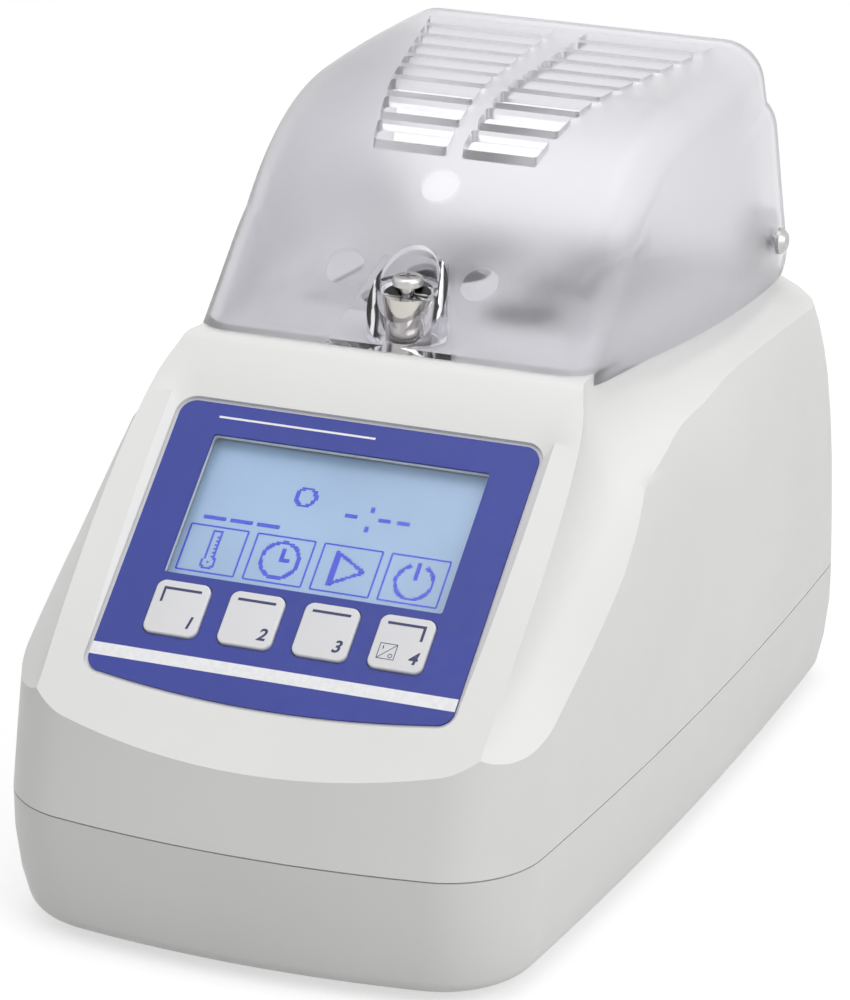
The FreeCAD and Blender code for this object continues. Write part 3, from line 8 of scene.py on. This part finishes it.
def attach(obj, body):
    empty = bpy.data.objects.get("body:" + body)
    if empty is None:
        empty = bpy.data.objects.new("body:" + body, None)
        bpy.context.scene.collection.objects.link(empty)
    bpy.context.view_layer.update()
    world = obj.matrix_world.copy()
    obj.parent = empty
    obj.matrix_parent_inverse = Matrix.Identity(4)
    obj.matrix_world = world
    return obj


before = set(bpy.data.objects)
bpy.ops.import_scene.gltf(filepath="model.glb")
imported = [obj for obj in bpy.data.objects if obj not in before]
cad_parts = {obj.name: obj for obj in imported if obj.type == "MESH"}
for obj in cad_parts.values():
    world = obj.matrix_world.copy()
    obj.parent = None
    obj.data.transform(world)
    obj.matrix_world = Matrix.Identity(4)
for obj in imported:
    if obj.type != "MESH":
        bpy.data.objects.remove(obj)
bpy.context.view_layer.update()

MM = 0.001

# Control panel in millimetres: a plane that rises to the rear, with U across, V up the slope and W out of it
PANEL_ORIGIN = Vector((0.0, -44.9, 78.6))
PANEL_TILT = math.radians(39.0)
FOIL_FACE = -0.30
DISPLAY_FACE = -3.20
KEY_FACE = 0.30
INK_HEIGHT = 0.03
KEY_PITCH = 15.0
KEY_ROW = -27.7

# Prints on the foil in millimetres: left, low, right and high side
FOIL_BAND = (-36.5, -39.4, 36.5, -36.8)
FOIL_RULE = (-28.2, 13.75, 3.8, 14.2)

# Prints on the key caps in millimetres from a cap's middle: left, low, right and high side
CAP_TOP_BAR = (-3.8, 3.6, 3.85, 4.15)
CAP_SIDE_BARS = {1: (-3.8, 0.9, -3.3, 3.6), 4: (3.3, 0.9, 3.85, 3.6)}
SWITCH_BOX = (-3.9, -3.7, -0.4, -0.4)
SWITCH_ONE = (-3.2, -1.65, -3.0, -0.95)
SWITCH_SLASH = ((-3.7, -3.5), (-0.6, -0.6))
SWITCH_ZERO = (-1.3, -2.9)
SWITCH_ZERO_RADIUS = 0.38
SWITCH_LINE = 0.14
NUMERAL_PLACES = (-19.2, -4.35, 10.57, 25.66)
NUMERAL_ROW = -30.55
NUMERAL_SIZE = 3.5
NUMERAL_BOLDNESS = 0.09
NUMERAL_SLANT = 0.2

# Display in millimetres: its dots, the frames of its four signs and the middles of the signs
DOT = 0.42
DOT_INK = 0.40
LINE_POINTS_PER_DOT = 1.5
ARC_POINTS = 90
FRAME_LEFTS = (-27.2, -13.55, 0.05, 13.6)
FRAME_WIDE = 11.7
FRAME_LOW, FRAME_HIGH = -17.8, -7.9
FRAME_LINE = 0.36
THERMOMETER_U, CLOCK_U, TRIANGLE_U, POWER_U = -21.4, -7.6, 5.9, 19.5

# Hood in metres: the polished wedge round the catch, from its foot up
WEDGE_FOOT_Z = 0.0993
WEDGE_HALF = 0.013
WEDGE_TAPER = -0.45
WEDGE_TALL = 0.0140
WEDGE_REAR_Y = 0.004

# Round moulding marks on the hood's front: distance from the middle plane and up the slope, metres.
# At an edge of the wedge or a mark the share of polish grows by POLISH_PER_METRE.
MOULD_MARKS = ((0.0, 0.0927), (0.0138, 0.0728))
MOULD_MARK_RADIUS = 0.004
MOULD_MARK_REAR_Y = 0.015
SLOPE_Y, SLOPE_Z = 0.712, 0.702
POLISH_PER_METRE = 2500.0
HOOD_FROSTED, HOOD_POLISHED = 0.28, 0.05

# Colours, linear
WHITE_SHELL = (0.80, 0.80, 0.79)
WHITE_SHELL_SHADE = (0.77, 0.77, 0.76)
FOIL_BLUE = (0.012, 0.028, 0.27)
PRINT_WHITE = (0.80, 0.80, 0.82)
PRINT_NAVY = (0.020, 0.022, 0.10)
DISPLAY_PALE = (0.265, 0.375, 0.52)
DISPLAY_DARK = (0.035, 0.050, 0.55)
HOOD_TINT = (0.82, 0.815, 0.85)
BOARD_GREEN = (0.01, 0.10, 0.035)
BOARD_WEAVE = (0.012, 0.13, 0.05)
WOOL = (0.62, 0.60, 0.52)
WOOL_SHADE = (0.50, 0.48, 0.41)
FLOOR_GREY = (0.50, 0.50, 0.50)
FLOOR_SHADE = (0.49, 0.49, 0.49)
WHITE = (1.0, 1.0, 1.0, 1.0)

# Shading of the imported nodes: facets joined below this distance, edges kept above this angle
FACET_GAP = 0.000002
CRISP_EDGE = math.radians(28.0)

# Camera fitted to the photograph: lens and sensor in millimetres, place in metres
CAMERA_LENS = 181.28
CAMERA_SENSOR = 36.0
CAMERA_NEAR, CAMERA_FAR = 0.05, 20.0
CAMERA_PLACE = (0.3460, -0.8477, 0.4162)
CAMERA_RIGHT = Vector((0.92584, 0.37791, 0.0))
CAMERA_UP = Vector((-0.13626, 0.33383, 0.93273))
CAMERA_FORWARD = Vector((-0.35249, 0.86356, -0.36057))

# Lamps: place and side in metres, power in watts, all turned to one point of the object
LAMPS = {
    "key_light": ((-0.55, -0.75, 1.15), 0.9, 2.2),
    "fill_light": ((1.1, -0.4, 0.75), 1.2, 8.8),
    "top_light": ((0.0, 0.05, 1.35), 1.0, 7.4),
}
LAMP_TARGET = Vector((0.0, 0.0, 0.06))
WORLD_LIGHT = 0.33
WORLD_WHITE = 1.0
FLOOR_HALF = 3.0
FLOOR_GLOW = 0.60


# Materials
def shaded(colour, factor):
    """The same colour, lighter or darker by a factor."""
    return tuple(channel * factor for channel in colour)


def new_material(name, colour, roughness, metallic=0.0):
    """Material with its shader; colour, roughness and metallic are set on the sockets."""
    material = bpy.data.materials.new(name)
    material.use_nodes = True
    shader = material.node_tree.nodes["Principled BSDF"]
    shader.inputs["Base Color"].default_value = (*colour, 1.0)
    shader.inputs["Roughness"].default_value = roughness
    shader.inputs["Metallic"].default_value = metallic
    return material, material.node_tree, shader


def object_noise(tree, scale, detail=2.0, stretch=(1.0, 1.0, 1.0)):
    """Noise in object coordinates; scale counts features per metre."""
    place = tree.nodes.new("ShaderNodeTexCoord")
    mapping = tree.nodes.new("ShaderNodeMapping")
    mapping.inputs["Scale"].default_value = stretch
    noise = tree.nodes.new("ShaderNodeTexNoise")
    noise.inputs["Scale"].default_value = scale
    noise.inputs["Detail"].default_value = detail
    tree.links.new(place.outputs["Object"], mapping.inputs["Vector"])
    tree.links.new(mapping.outputs["Vector"], noise.inputs["Vector"])
    return noise


def vary_colour(tree, shader, noise, first, second):
    """Base colour that wanders between two shades."""
    ramp = tree.nodes.new("ShaderNodeValToRGB")
    for element, position, colour in zip(ramp.color_ramp.elements, (0.35, 0.65), (first, second)):
        element.position = position
        element.color = (*colour, 1.0)
    tree.links.new(noise.outputs["Fac"], ramp.inputs["Fac"])
    tree.links.new(ramp.outputs["Color"], shader.inputs["Base Color"])


def vary_roughness(tree, shader, noise, low, high):
    """Roughness that wanders between two values."""
    spread = tree.nodes.new("ShaderNodeMapRange")
    spread.inputs["From Min"].default_value = 0.3
    spread.inputs["From Max"].default_value = 0.7
    spread.inputs["To Min"].default_value = low
    spread.inputs["To Max"].default_value = high
    tree.links.new(noise.outputs["Fac"], spread.inputs["Value"])
    tree.links.new(spread.outputs["Result"], shader.inputs["Roughness"])


def add_bump(tree, shader, noise, strength, depth):
    """Relief from a noise; depth in metres."""
    bump = tree.nodes.new("ShaderNodeBump")
    bump.inputs["Strength"].default_value = strength
    bump.inputs["Distance"].default_value = depth
    tree.links.new(noise.outputs["Fac"], bump.inputs["Height"])
    tree.links.new(bump.outputs["Normal"], shader.inputs["Normal"])
    return bump


def moulded_plastic(name, colour, shade, roughness, grain=1600.0, strength=0.25):
    """Moulded plastic with a fine spark-eroded grain and a faint drift of shade."""
    material, tree, shader = new_material(name, colour, roughness)
    vary_colour(tree, shader, object_noise(tree, scale=18.0), colour, shade)
    vary_roughness(tree, shader, object_noise(tree, scale=240.0), roughness - 0.04, roughness + 0.05)
    add_bump(tree, shader, object_noise(tree, scale=grain, detail=3.0), strength, depth=0.00002)
    return material


def brushed_metal(name, colour, roughness, stretch=(1.0, 1.0, 14.0)):
    """Metal with fine lines along one direction."""
    material, tree, shader = new_material(name, colour, roughness, metallic=1.0)
    lines = object_noise(tree, scale=700.0, detail=3.0, stretch=stretch)
    vary_roughness(tree, shader, lines, roughness - 0.06, roughness + 0.08)
    add_bump(tree, shader, lines, strength=0.12, depth=0.00001)
    vary_colour(tree, shader, object_noise(tree, scale=90.0), colour, shaded(colour, 0.9))
    return material


def printed_ink(name, colour, roughness=0.45):
    """Screen-printed ink with a trace of unevenness."""
    material, tree, shader = new_material(name, colour, roughness)
    lighter = tuple(min(channel * 1.08 + 0.002, 1.0) for channel in colour)
    vary_colour(tree, shader, object_noise(tree, scale=900.0), colour, lighter)
    add_bump(tree, shader, object_noise(tree, scale=2600.0), strength=0.1, depth=0.000005)
    return material


def foil_finish():
    """Blue polyester foil with a fine satin texture."""
    material, tree, shader = new_material("foil_blue", FOIL_BLUE, 0.42)
    vary_colour(tree, shader, object_noise(tree, scale=60.0), FOIL_BLUE, shaded(FOIL_BLUE, 1.07))
    vary_roughness(tree, shader, object_noise(tree, scale=500.0), low=0.38, high=0.46)
    add_bump(tree, shader, object_noise(tree, scale=3200.0), strength=0.18, depth=0.00001)
    return material


def display_finish():
    """Reflective display: pale blue with a faint drift of shade."""
    material, tree, shader = new_material("display_pale", DISPLAY_PALE, 0.32)
    vary_colour(tree, shader, object_noise(tree, scale=30.0), DISPLAY_PALE, shaded(DISPLAY_PALE, 1.12))
    add_bump(tree, shader, object_noise(tree, scale=4000.0), strength=0.05, depth=0.000005)
    return material


def pane_finish():
    """Clear window in the foil: nearly all light goes through."""
    material, tree, shader = new_material("window_clear", (0.97, 0.98, 1.0), 0.06)
    shader.inputs["Transmission Weight"].default_value = 1.0
    shader.inputs["IOR"].default_value = 1.15
    add_bump(tree, shader, object_noise(tree, scale=300.0), strength=0.03, depth=0.000005)
    return material


def calculate(tree, operation, *values):
    """Output of a new maths node; each value is a number or another node's output."""
    node = tree.nodes.new("ShaderNodeMath")
    node.operation = operation
    for socket, value in zip(node.inputs, values):
        if isinstance(value, float):
            socket.default_value = value
        else:
            tree.links.new(value, socket)
    return node.outputs["Value"]


def polished_share(tree):
    """One in the wedge round the catch and in the round marks, zero on the frosted rest of the hood."""
    place = tree.nodes.new("ShaderNodeTexCoord")
    split = tree.nodes.new("ShaderNodeSeparateXYZ")
    tree.links.new(place.outputs["Object"], split.inputs["Vector"])
    x, y, z = (split.outputs[axis] for axis in "XYZ")

    # Distance inside the wedge's nearest edge
    across = calculate(tree, "ABSOLUTE", x)
    climb = calculate(tree, "SUBTRACT", z, WEDGE_FOOT_Z)
    half_width = calculate(tree, "MULTIPLY_ADD", climb, WEDGE_TAPER, WEDGE_HALF)
    sides = calculate(tree, "SUBTRACT", half_width, across)
    top = calculate(tree, "SUBTRACT", WEDGE_TALL, climb)
    rear = calculate(tree, "SUBTRACT", WEDGE_REAR_Y, y)
    inside = calculate(tree, "MINIMUM", calculate(tree, "MINIMUM", sides, top), rear)

    # The same for each round mark, measured up the front's slope
    up_slope = calculate(tree, "MULTIPLY_ADD", y, SLOPE_Y, calculate(tree, "MULTIPLY", z, SLOPE_Z))
    front = calculate(tree, "SUBTRACT", MOULD_MARK_REAR_Y, y)
    for mark_across, mark_up in MOULD_MARKS:
        side = calculate(tree, "SUBTRACT", across, mark_across)
        rise = calculate(tree, "SUBTRACT", up_slope, mark_up)
        side_square = calculate(tree, "MULTIPLY", side, side)
        rise_square = calculate(tree, "MULTIPLY", rise, rise)
        distance = calculate(tree, "SQRT", calculate(tree, "ADD", side_square, rise_square))
        spot = calculate(tree, "SUBTRACT", MOULD_MARK_RADIUS, distance)
        inside = calculate(tree, "MAXIMUM", inside, calculate(tree, "MINIMUM", spot, front))

    clamp = tree.nodes.new("ShaderNodeClamp")
    tree.links.new(calculate(tree, "MULTIPLY", inside, POLISH_PER_METRE), clamp.inputs["Value"])
    return clamp.outputs["Result"]


def hood_finish():
    """Tinted clear moulding: frosted all over, polished round the catch and in the round marks."""
    material, tree, shader = new_material("hood_frosted", HOOD_TINT, 0.3)
    shader.inputs["Transmission Weight"].default_value = 1.0
    shader.inputs["IOR"].default_value = 1.35
    polished = polished_share(tree)
    rough = tree.nodes.new("ShaderNodeMapRange")
    rough.inputs["To Min"].default_value = HOOD_FROSTED
    rough.inputs["To Max"].default_value = HOOD_POLISHED
    tree.links.new(polished, rough.inputs["Value"])
    drift = object_noise(tree, scale=260.0)
    wander = calculate(tree, "MULTIPLY_ADD", drift.outputs["Fac"], 0.04, rough.outputs["Result"])
    tree.links.new(wander, shader.inputs["Roughness"])
    vary_colour(tree, shader, object_noise(tree, scale=14.0), HOOD_TINT, shaded(HOOD_TINT, 0.97))
    frost = object_noise(tree, scale=2200.0, detail=3.0)
    bump = add_bump(tree, shader, frost, strength=0.2, depth=0.00002)
    frosted = calculate(tree, "SUBTRACT", 1.0, polished)
    tree.links.new(calculate(tree, "MULTIPLY", frosted, 0.25), bump.inputs["Strength"])
    return material


def rubber_finish(name, colour):
    """Matte rubber with a coarse grain."""
    material, tree, shader = new_material(name, colour, 0.8)
    vary_colour(tree, shader, object_noise(tree, scale=300.0), colour, shaded(colour, 1.4))
    add_bump(tree, shader, object_noise(tree, scale=1800.0, detail=3.0), strength=0.4, depth=0.00004)
    return material


def board_finish():
    """Green lacquered circuit board with a faint weave."""
    material, tree, shader = new_material("board_green", BOARD_GREEN, 0.3)
    vary_colour(tree, shader, object_noise(tree, scale=700.0), BOARD_GREEN, BOARD_WEAVE)
    add_bump(tree, shader, object_noise(tree, scale=1500.0), strength=0.1, depth=0.00001)
    return material


def wool_finish():
    """Pale insulation wool with a deep, uneven surface."""
    material, tree, shader = new_material("insulation_wool", WOOL, 0.95)
    vary_colour(tree, shader, object_noise(tree, scale=400.0, detail=5.0), WOOL, WOOL_SHADE)
    add_bump(tree, shader, object_noise(tree, scale=900.0, detail=5.0), strength=0.8, depth=0.0003)
    return material


SHELL = moulded_plastic("shell_white", WHITE_SHELL, WHITE_SHELL_SHADE, 0.40)
SHELL_FOOT = moulded_plastic("tray_white", WHITE_SHELL, WHITE_SHELL_SHADE, 0.42)
KEY_CAP = moulded_plastic("key_white", (0.72, 0.72, 0.74), (0.69, 0.69, 0.71), 0.35, 2400.0, 0.15)
COVER = moulded_plastic("cover_grey", (0.60, 0.60, 0.60), (0.56, 0.56, 0.56), 0.5)
BLACK_PLASTIC = moulded_plastic("black_plastic", (0.012, 0.012, 0.013), (0.018, 0.018, 0.019), 0.45)
STEEL = brushed_metal("steel_plain", (0.56, 0.55, 0.54), 0.3)
NICKEL = brushed_metal("nickel_plated", (0.62, 0.60, 0.56), 0.18)
ALUMINIUM = brushed_metal("aluminium_milled", (0.75, 0.76, 0.77), 0.32, stretch=(14.0, 1.0, 1.0))
FOIL = foil_finish()
DISPLAY = display_finish()
PANE = pane_finish()
HOOD = hood_finish()
RUBBER = rubber_finish("rubber_black", (0.018, 0.018, 0.019))
SILICONE = rubber_finish("pad_grey", (0.30, 0.31, 0.33))
BOARD = board_finish()
INSULATION = wool_finish()
INK_WHITE = printed_ink("ink_white", PRINT_WHITE)
INK_NAVY = printed_ink("ink_navy", PRINT_NAVY)
INK_PIXEL = printed_ink("display_dots", DISPLAY_DARK, 0.35)

FINISHES = {
    "base_tray": SHELL_FOOT, "upper_housing": SHELL, "rubber_feet": RUBBER, "housing_screws": STEEL,
    "hood": HOOD, "catch_magnet": NICKEL, "catch_keeper": STEEL, "catch_screw": STEEL,
    "hinge_screws": STEEL, "front_foil": FOIL, "key_1": KEY_CAP, "key_2": KEY_CAP, "key_3": KEY_CAP,
    "key_4": KEY_CAP, "display_window": PANE, "display_backlight": SHELL, "display_glass": DISPLAY,
    "display_frame": STEEL, "control_board": BOARD, "key_switches": BLACK_PLASTIC,
    "control_board_parts": BLACK_PLASTIC, "control_board_screws": STEEL, "block_base": ALUMINIUM,
    "heating_block": ALUMINIUM, "block_cover": COVER, "cartridge_heaters": STEEL,
    "temperature_sensor": STEEL, "block_insulation": INSULATION, "thermal_cutout": BLACK_PLASTIC,
    "block_pad": SILICONE, "block_bracket": STEEL, "bracket_pillars": STEEL, "bracket_screws": STEEL,
    "power_board": BOARD, "power_board_parts": BLACK_PLASTIC, "power_board_screws": STEEL,
    "power_jack": BLACK_PLASTIC, "jack_nut": STEEL,
}


def dress_nodes():
    """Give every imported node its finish, and shade its curved faces smoothly up to crisp edges."""
    for name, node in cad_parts.items():
        node.data.materials.clear()
        node.data.materials.append(FINISHES[name])
        node.data.polygons.foreach_set("use_smooth", [True] * len(node.data.polygons))
        weld = node.modifiers.new("join_facets", "WELD")
        weld.merge_threshold = FACET_GAP
        split = node.modifiers.new("keep_edges", "EDGE_SPLIT")
        split.split_angle = CRISP_EDGE
        split.use_edge_sharp = False


# Panel prints
def panel_matrix(u, v, w):
    """Place on the control panel, in metres, for a mesh drawn in millimetres."""
    tilt = Matrix.Rotation(PANEL_TILT, 4, "X")
    return (Matrix.Scale(MM, 4) @ Matrix.Translation(PANEL_ORIGIN) @ tilt
            @ Matrix.Translation(Vector((u, v, w))))


def add_bar(drawing, left, low, right, high, turn=0.0):
    """Flat rectangle in the drawing's plane, turned about its middle."""
    middle = Vector(((left + right) / 2, (low + high) / 2, 0.0))
    scale = Matrix.Diagonal(((right - left) / 2, (high - low) / 2, 1.0, 1.0))
    spin = Matrix.Rotation(turn, 4, "Z")
    bmesh.ops.create_grid(drawing, x_segments=1, y_segments=1, size=1.0,
                          matrix=Matrix.Translation(middle) @ spin @ scale)


def add_stroke(drawing, start, end, width):
    """Flat bar from one point to another."""
    run = Vector(end) - Vector(start)
    middle = (Vector(start) + Vector(end)) / 2
    half = run.length / 2
    add_bar(drawing, middle.x - half, middle.y - width / 2, middle.x + half, middle.y + width / 2,
            math.atan2(run.y, run.x))


def add_outline(drawing, left, low, right, high, width):
    """Rectangle drawn with lines inside its edges."""
    add_bar(drawing, left, low, right, low + width)
    add_bar(drawing, left, high - width, right, high)
    add_bar(drawing, left, low + width, left + width, high - width)
    add_bar(drawing, right - width, low + width, right, high - width)


def add_ring(drawing, centre, radius, width):
    """Flat ring made by spinning a short edge."""
    start = Vector((centre[0] + radius - width / 2, centre[1], 0.0))
    ends = [drawing.verts.new(start), drawing.verts.new(start + Vector((width, 0.0, 0.0)))]
    edge = drawing.edges.new(ends)
    bmesh.ops.spin(drawing, geom=ends + [edge], cent=(centre[0], centre[1], 0.0),
                   axis=(0.0, 0.0, 1.0), angle=math.radians(360.0), steps=32, use_merge=True)


def place_print(mesh, place, material, body):
    """Lay a flat mesh on the panel as a printed piece that rides on a body."""
    mesh.transform(place)
    mesh.materials.clear()
    mesh.materials.append(material)
    piece = bpy.data.objects.new(mesh.name, mesh)
    bpy.context.scene.collection.objects.link(piece)
    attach(piece, body)


def finish_drawing(name, drawing, place, material, body):
    """Turn a flat drawing into a printed piece."""
    mesh = bpy.data.meshes.new(name)
    drawing.to_mesh(mesh)
    drawing.free()
    place_print(mesh, place, material, body)


def foil_print():
    """White band near the foil's foot and the fine rule above the window."""
    drawing = bmesh.new()
    add_bar(drawing, *FOIL_BAND)
    add_bar(drawing, *FOIL_RULE)
    finish_drawing("foil_print", drawing, panel_matrix(0, 0, FOIL_FACE + INK_HEIGHT), INK_WHITE, "housing")


def switch_sign(drawing):
    """Boxed sign for on and off: a one and a zero with a slash between them."""
    add_outline(drawing, *SWITCH_BOX, SWITCH_LINE)
    add_stroke(drawing, *SWITCH_SLASH, SWITCH_LINE)
    add_bar(drawing, *SWITCH_ONE)
    add_ring(drawing, SWITCH_ZERO, SWITCH_ZERO_RADIUS, SWITCH_LINE)


def key_prints():
    """Marks and a numeral on each of the four key caps."""
    face = KEY_FACE + INK_HEIGHT
    for number, numeral_u in enumerate(NUMERAL_PLACES, start=1):
        drawing = bmesh.new()
        add_bar(drawing, *CAP_TOP_BAR)
        if number in CAP_SIDE_BARS:
            add_bar(drawing, *CAP_SIDE_BARS[number])
        if number == 4:
            switch_sign(drawing)
        cap = panel_matrix((number - 2.5) * KEY_PITCH, KEY_ROW, face)
        finish_drawing("key_print_%d" % number, drawing, cap, INK_NAVY, "key_%d" % number)
        numeral(number, panel_matrix(numeral_u, NUMERAL_ROW, face))


def numeral(number, place):
    """One printed numeral, centred on a point of its key cap."""
    letters = bpy.data.curves.new("numeral", "FONT")
    letters.body = str(number)
    letters.size = NUMERAL_SIZE
    letters.offset = NUMERAL_BOLDNESS
    letters.shear = NUMERAL_SLANT
    letters.align_x = "CENTER"
    letters.align_y = "CENTER"
    shape = bpy.data.objects.new("numeral", letters)
    bpy.context.scene.collection.objects.link(shape)
    bpy.context.view_layer.update()
    mesh = bpy.data.meshes.new_from_object(shape)
    bpy.data.objects.remove(shape)
    mesh.name = "key_numeral_%d" % number
    place_print(mesh, place, INK_NAVY, "key_%d" % number)


# Display dots
def dot_cell(u, v):
    """Grid cell of the display that a point lies in."""
    return (round(u / DOT), round(v / DOT))


def line_cells(start, end):
    """Cells that a straight line passes through."""
    run = Vector(end) - Vector(start)
    count = max(int(run.length / DOT * LINE_POINTS_PER_DOT), 1)
    points = [Vector(start) + run * (step / count) for step in range(count + 1)]
    return {dot_cell(point.x, point.y) for point in points}


def arc_cells(centre, radius, first=0.0, last=360.0):
    """Cells along part of a circle; angles in degrees, anticlockwise from the right."""
    count = int(abs(last - first) / 360.0 * ARC_POINTS)
    angles = [math.radians(first + (last - first) * step / count) for step in range(count + 1)]
    return {dot_cell(centre[0] + radius * math.cos(angle), centre[1] + radius * math.sin(angle))
            for angle in angles}


def thick(cells, wide, high):
    """The same cells with more beside and above each."""
    return {(column + right, row + up)
            for column, row in cells for right in range(wide) for up in range(high)}


def readings():
    """Dashes where the temperature and the time would be, a degree sign and a colon."""
    degree, degree_radius = (-7.1, 1.1), 1.9
    temperature = (-6.1, 4.2, (-25.3, -19.9, -14.3))
    time = (-1.7, 2.2, (2.1, 8.9, 12.4))
    colon, colon_rows = 6.8, (0.1, -4.3)
    cells = thick(arc_cells(degree, degree_radius), 2, 1)
    for row, dash, lefts in (temperature, time):
        for left in lefts:
            cells |= thick(line_cells((left, row), (left + dash, row)), 1, 2)
    for row in colon_rows:
        cells |= thick({dot_cell(colon, row)}, 2, 3)
    return cells


def thermometer(middle):
    """Bulb with a tube on it and a column of dots in the tube."""
    bulb, bulb_radius, first, last = (middle, -15.6), 1.3, 125.0, 415.0
    tube_half, tube_low, tube_high, cap = 0.8, -14.4, -9.1, -8.9
    column, column_high, column_step, column_dots = middle + 0.3, -9.9, 0.84, 6
    cells = arc_cells(bulb, bulb_radius, first, last) | {dot_cell(*bulb)}
    for side in (middle - tube_half, middle + tube_half):
        cells |= line_cells((side, tube_low), (side, tube_high))
    cells |= line_cells((middle - tube_half, cap), (middle + tube_half, cap))
    return cells | {dot_cell(column, column_high - step * column_step) for step in range(column_dots)}


def clock(middle):
    """Dial two dots thick with its two hands."""
    dial, outer, inner = (middle, -12.9), 3.9, 3.6
    upright_hand = line_cells((middle, -13.0), (middle, -10.4))
    level_hand = line_cells((middle, -13.2), (middle + 1.7, -13.2))
    hands = thick(upright_hand, 2, 1) | thick(level_hand, 1, 2)
    return arc_cells(dial, outer) | arc_cells(dial, inner) | hands


def triangle(middle):
    """Start sign that points to the right."""
    left = middle - 3.1
    tip = left + 5.9
    upright = line_cells((left, -16.2), (left, -9.5))
    upper = line_cells((left, -9.3), (tip, -12.6))
    lower = line_cells((left, -16.4), (tip, -13.0))
    return thick(upright, 3, 1) | thick(upper, 2, 1) | thick(lower, 2, 1)


def power_sign(middle):
    """Ring two dots thick, open at its top, with a bar in the gap."""
    centre, outer, inner, first, last = (middle, -13.2), 3.8, 3.5, 118.0, 422.0
    bar = line_cells((middle - 0.2, -12.6), (middle - 0.2, -9.2))
    ring = arc_cells(centre, outer, first, last) | arc_cells(centre, inner, first, last)
    return ring | thick(bar, 2, 1)


def sign_frame(drawing, left):
    """Frame round one sign, a stroke for each side."""
    right = left + FRAME_WIDE
    corners = [(left, FRAME_LOW), (right, FRAME_LOW), (right, FRAME_HIGH), (left, FRAME_HIGH)]
    for start, end in zip(corners, corners[1:] + corners[:1]):
        add_stroke(drawing, start, end, FRAME_LINE)


def display_dots():
    """Readings, and four framed signs above the keys."""
    drawing = bmesh.new()
    for left in FRAME_LEFTS:
        sign_frame(drawing, left)
    cells = readings() | thermometer(THERMOMETER_U) | clock(CLOCK_U)
    cells |= triangle(TRIANGLE_U) | power_sign(POWER_U)
    for column, row in sorted(cells):
        u, v = column * DOT, row * DOT
        add_bar(drawing, u - DOT_INK / 2, v - DOT_INK / 2, u + DOT_INK / 2, v + DOT_INK / 2)
    face = panel_matrix(0, 0, DISPLAY_FACE + INK_HEIGHT)
    finish_drawing("display_dots", drawing, face, INK_PIXEL, "housing")


# Studio
def camera():
    """Camera at the viewing angle of the photograph."""
    data = bpy.data.cameras.new("camera")
    data.lens = CAMERA_LENS
    data.sensor_width = CAMERA_SENSOR
    data.clip_start, data.clip_end = CAMERA_NEAR, CAMERA_FAR
    eye = bpy.data.objects.new("camera", data)
    bpy.context.scene.collection.objects.link(eye)
    turn = Matrix((CAMERA_RIGHT, CAMERA_UP, -CAMERA_FORWARD)).transposed().to_4x4()
    eye.matrix_world = Matrix.Translation(CAMERA_PLACE) @ turn
    bpy.context.scene.camera = eye


def lamp(name, place, side, power):
    """Soft square lamp that faces the object."""
    data = bpy.data.lights.new(name, "AREA")
    data.size = side
    data.energy = power
    light = bpy.data.objects.new(name, data)
    bpy.context.scene.collection.objects.link(light)
    turn = (LAMP_TARGET - Vector(place)).to_track_quat("-Z", "Y").to_matrix().to_4x4()
    light.matrix_world = Matrix.Translation(place) @ turn


def seen_directly(tree):
    """One for camera rays and for mirrored or refracted rays, zero for the light on the object."""
    paths = tree.nodes.new("ShaderNodeLightPath")
    seen = paths.outputs["Is Camera Ray"]
    for kind in ("Is Glossy Ray", "Is Transmission Ray"):
        seen = calculate(tree, "MAXIMUM", seen, paths.outputs[kind])
    return seen


def backdrop_world():
    """Even grey light on the object; the camera and mirrored or refracted rays see white."""
    world = bpy.data.worlds.new("studio")
    world.use_nodes = True
    tree = world.node_tree
    tree.nodes.clear()
    mix = tree.nodes.new("ShaderNodeMixShader")
    for socket, strength in ((1, WORLD_LIGHT), (2, WORLD_WHITE)):
        background = tree.nodes.new("ShaderNodeBackground")
        background.inputs["Color"].default_value = WHITE
        background.inputs["Strength"].default_value = strength
        tree.links.new(background.outputs["Background"], mix.inputs[socket])
    tree.links.new(seen_directly(tree), mix.inputs["Fac"])
    out = tree.nodes.new("ShaderNodeOutputWorld")
    tree.links.new(mix.outputs["Shader"], out.inputs["Surface"])
    bpy.context.scene.world = world


def floor():
    """Pale floor that takes a soft shadow and melts into the white background."""
    drawing = bmesh.new()
    bmesh.ops.create_grid(drawing, x_segments=1, y_segments=1, size=FLOOR_HALF)
    mesh = bpy.data.meshes.new("floor")
    drawing.to_mesh(mesh)
    drawing.free()
    material, tree, shader = new_material("floor_pale", FLOOR_GREY, 0.9)
    vary_colour(tree, shader, object_noise(tree, scale=2.0), FLOOR_GREY, FLOOR_SHADE)
    glow = calculate(tree, "MULTIPLY", seen_directly(tree), FLOOR_GLOW)
    tree.links.new(glow, shader.inputs["Emission Strength"])
    shader.inputs["Emission Color"].default_value = WHITE
    mesh.materials.append(material)
    ground = bpy.data.objects.new("floor", mesh)
    bpy.context.scene.collection.objects.link(ground)


def studio():
    """Camera, background, floor and lamps."""
    camera()
    backdrop_world()
    floor()
    for name, (place, side, power) in LAMPS.items():
        lamp(name, place, side, power)
    bpy.context.scene.view_settings.view_transform = "Standard"


dress_nodes()
foil_print()
key_prints()
display_dots()
studio()
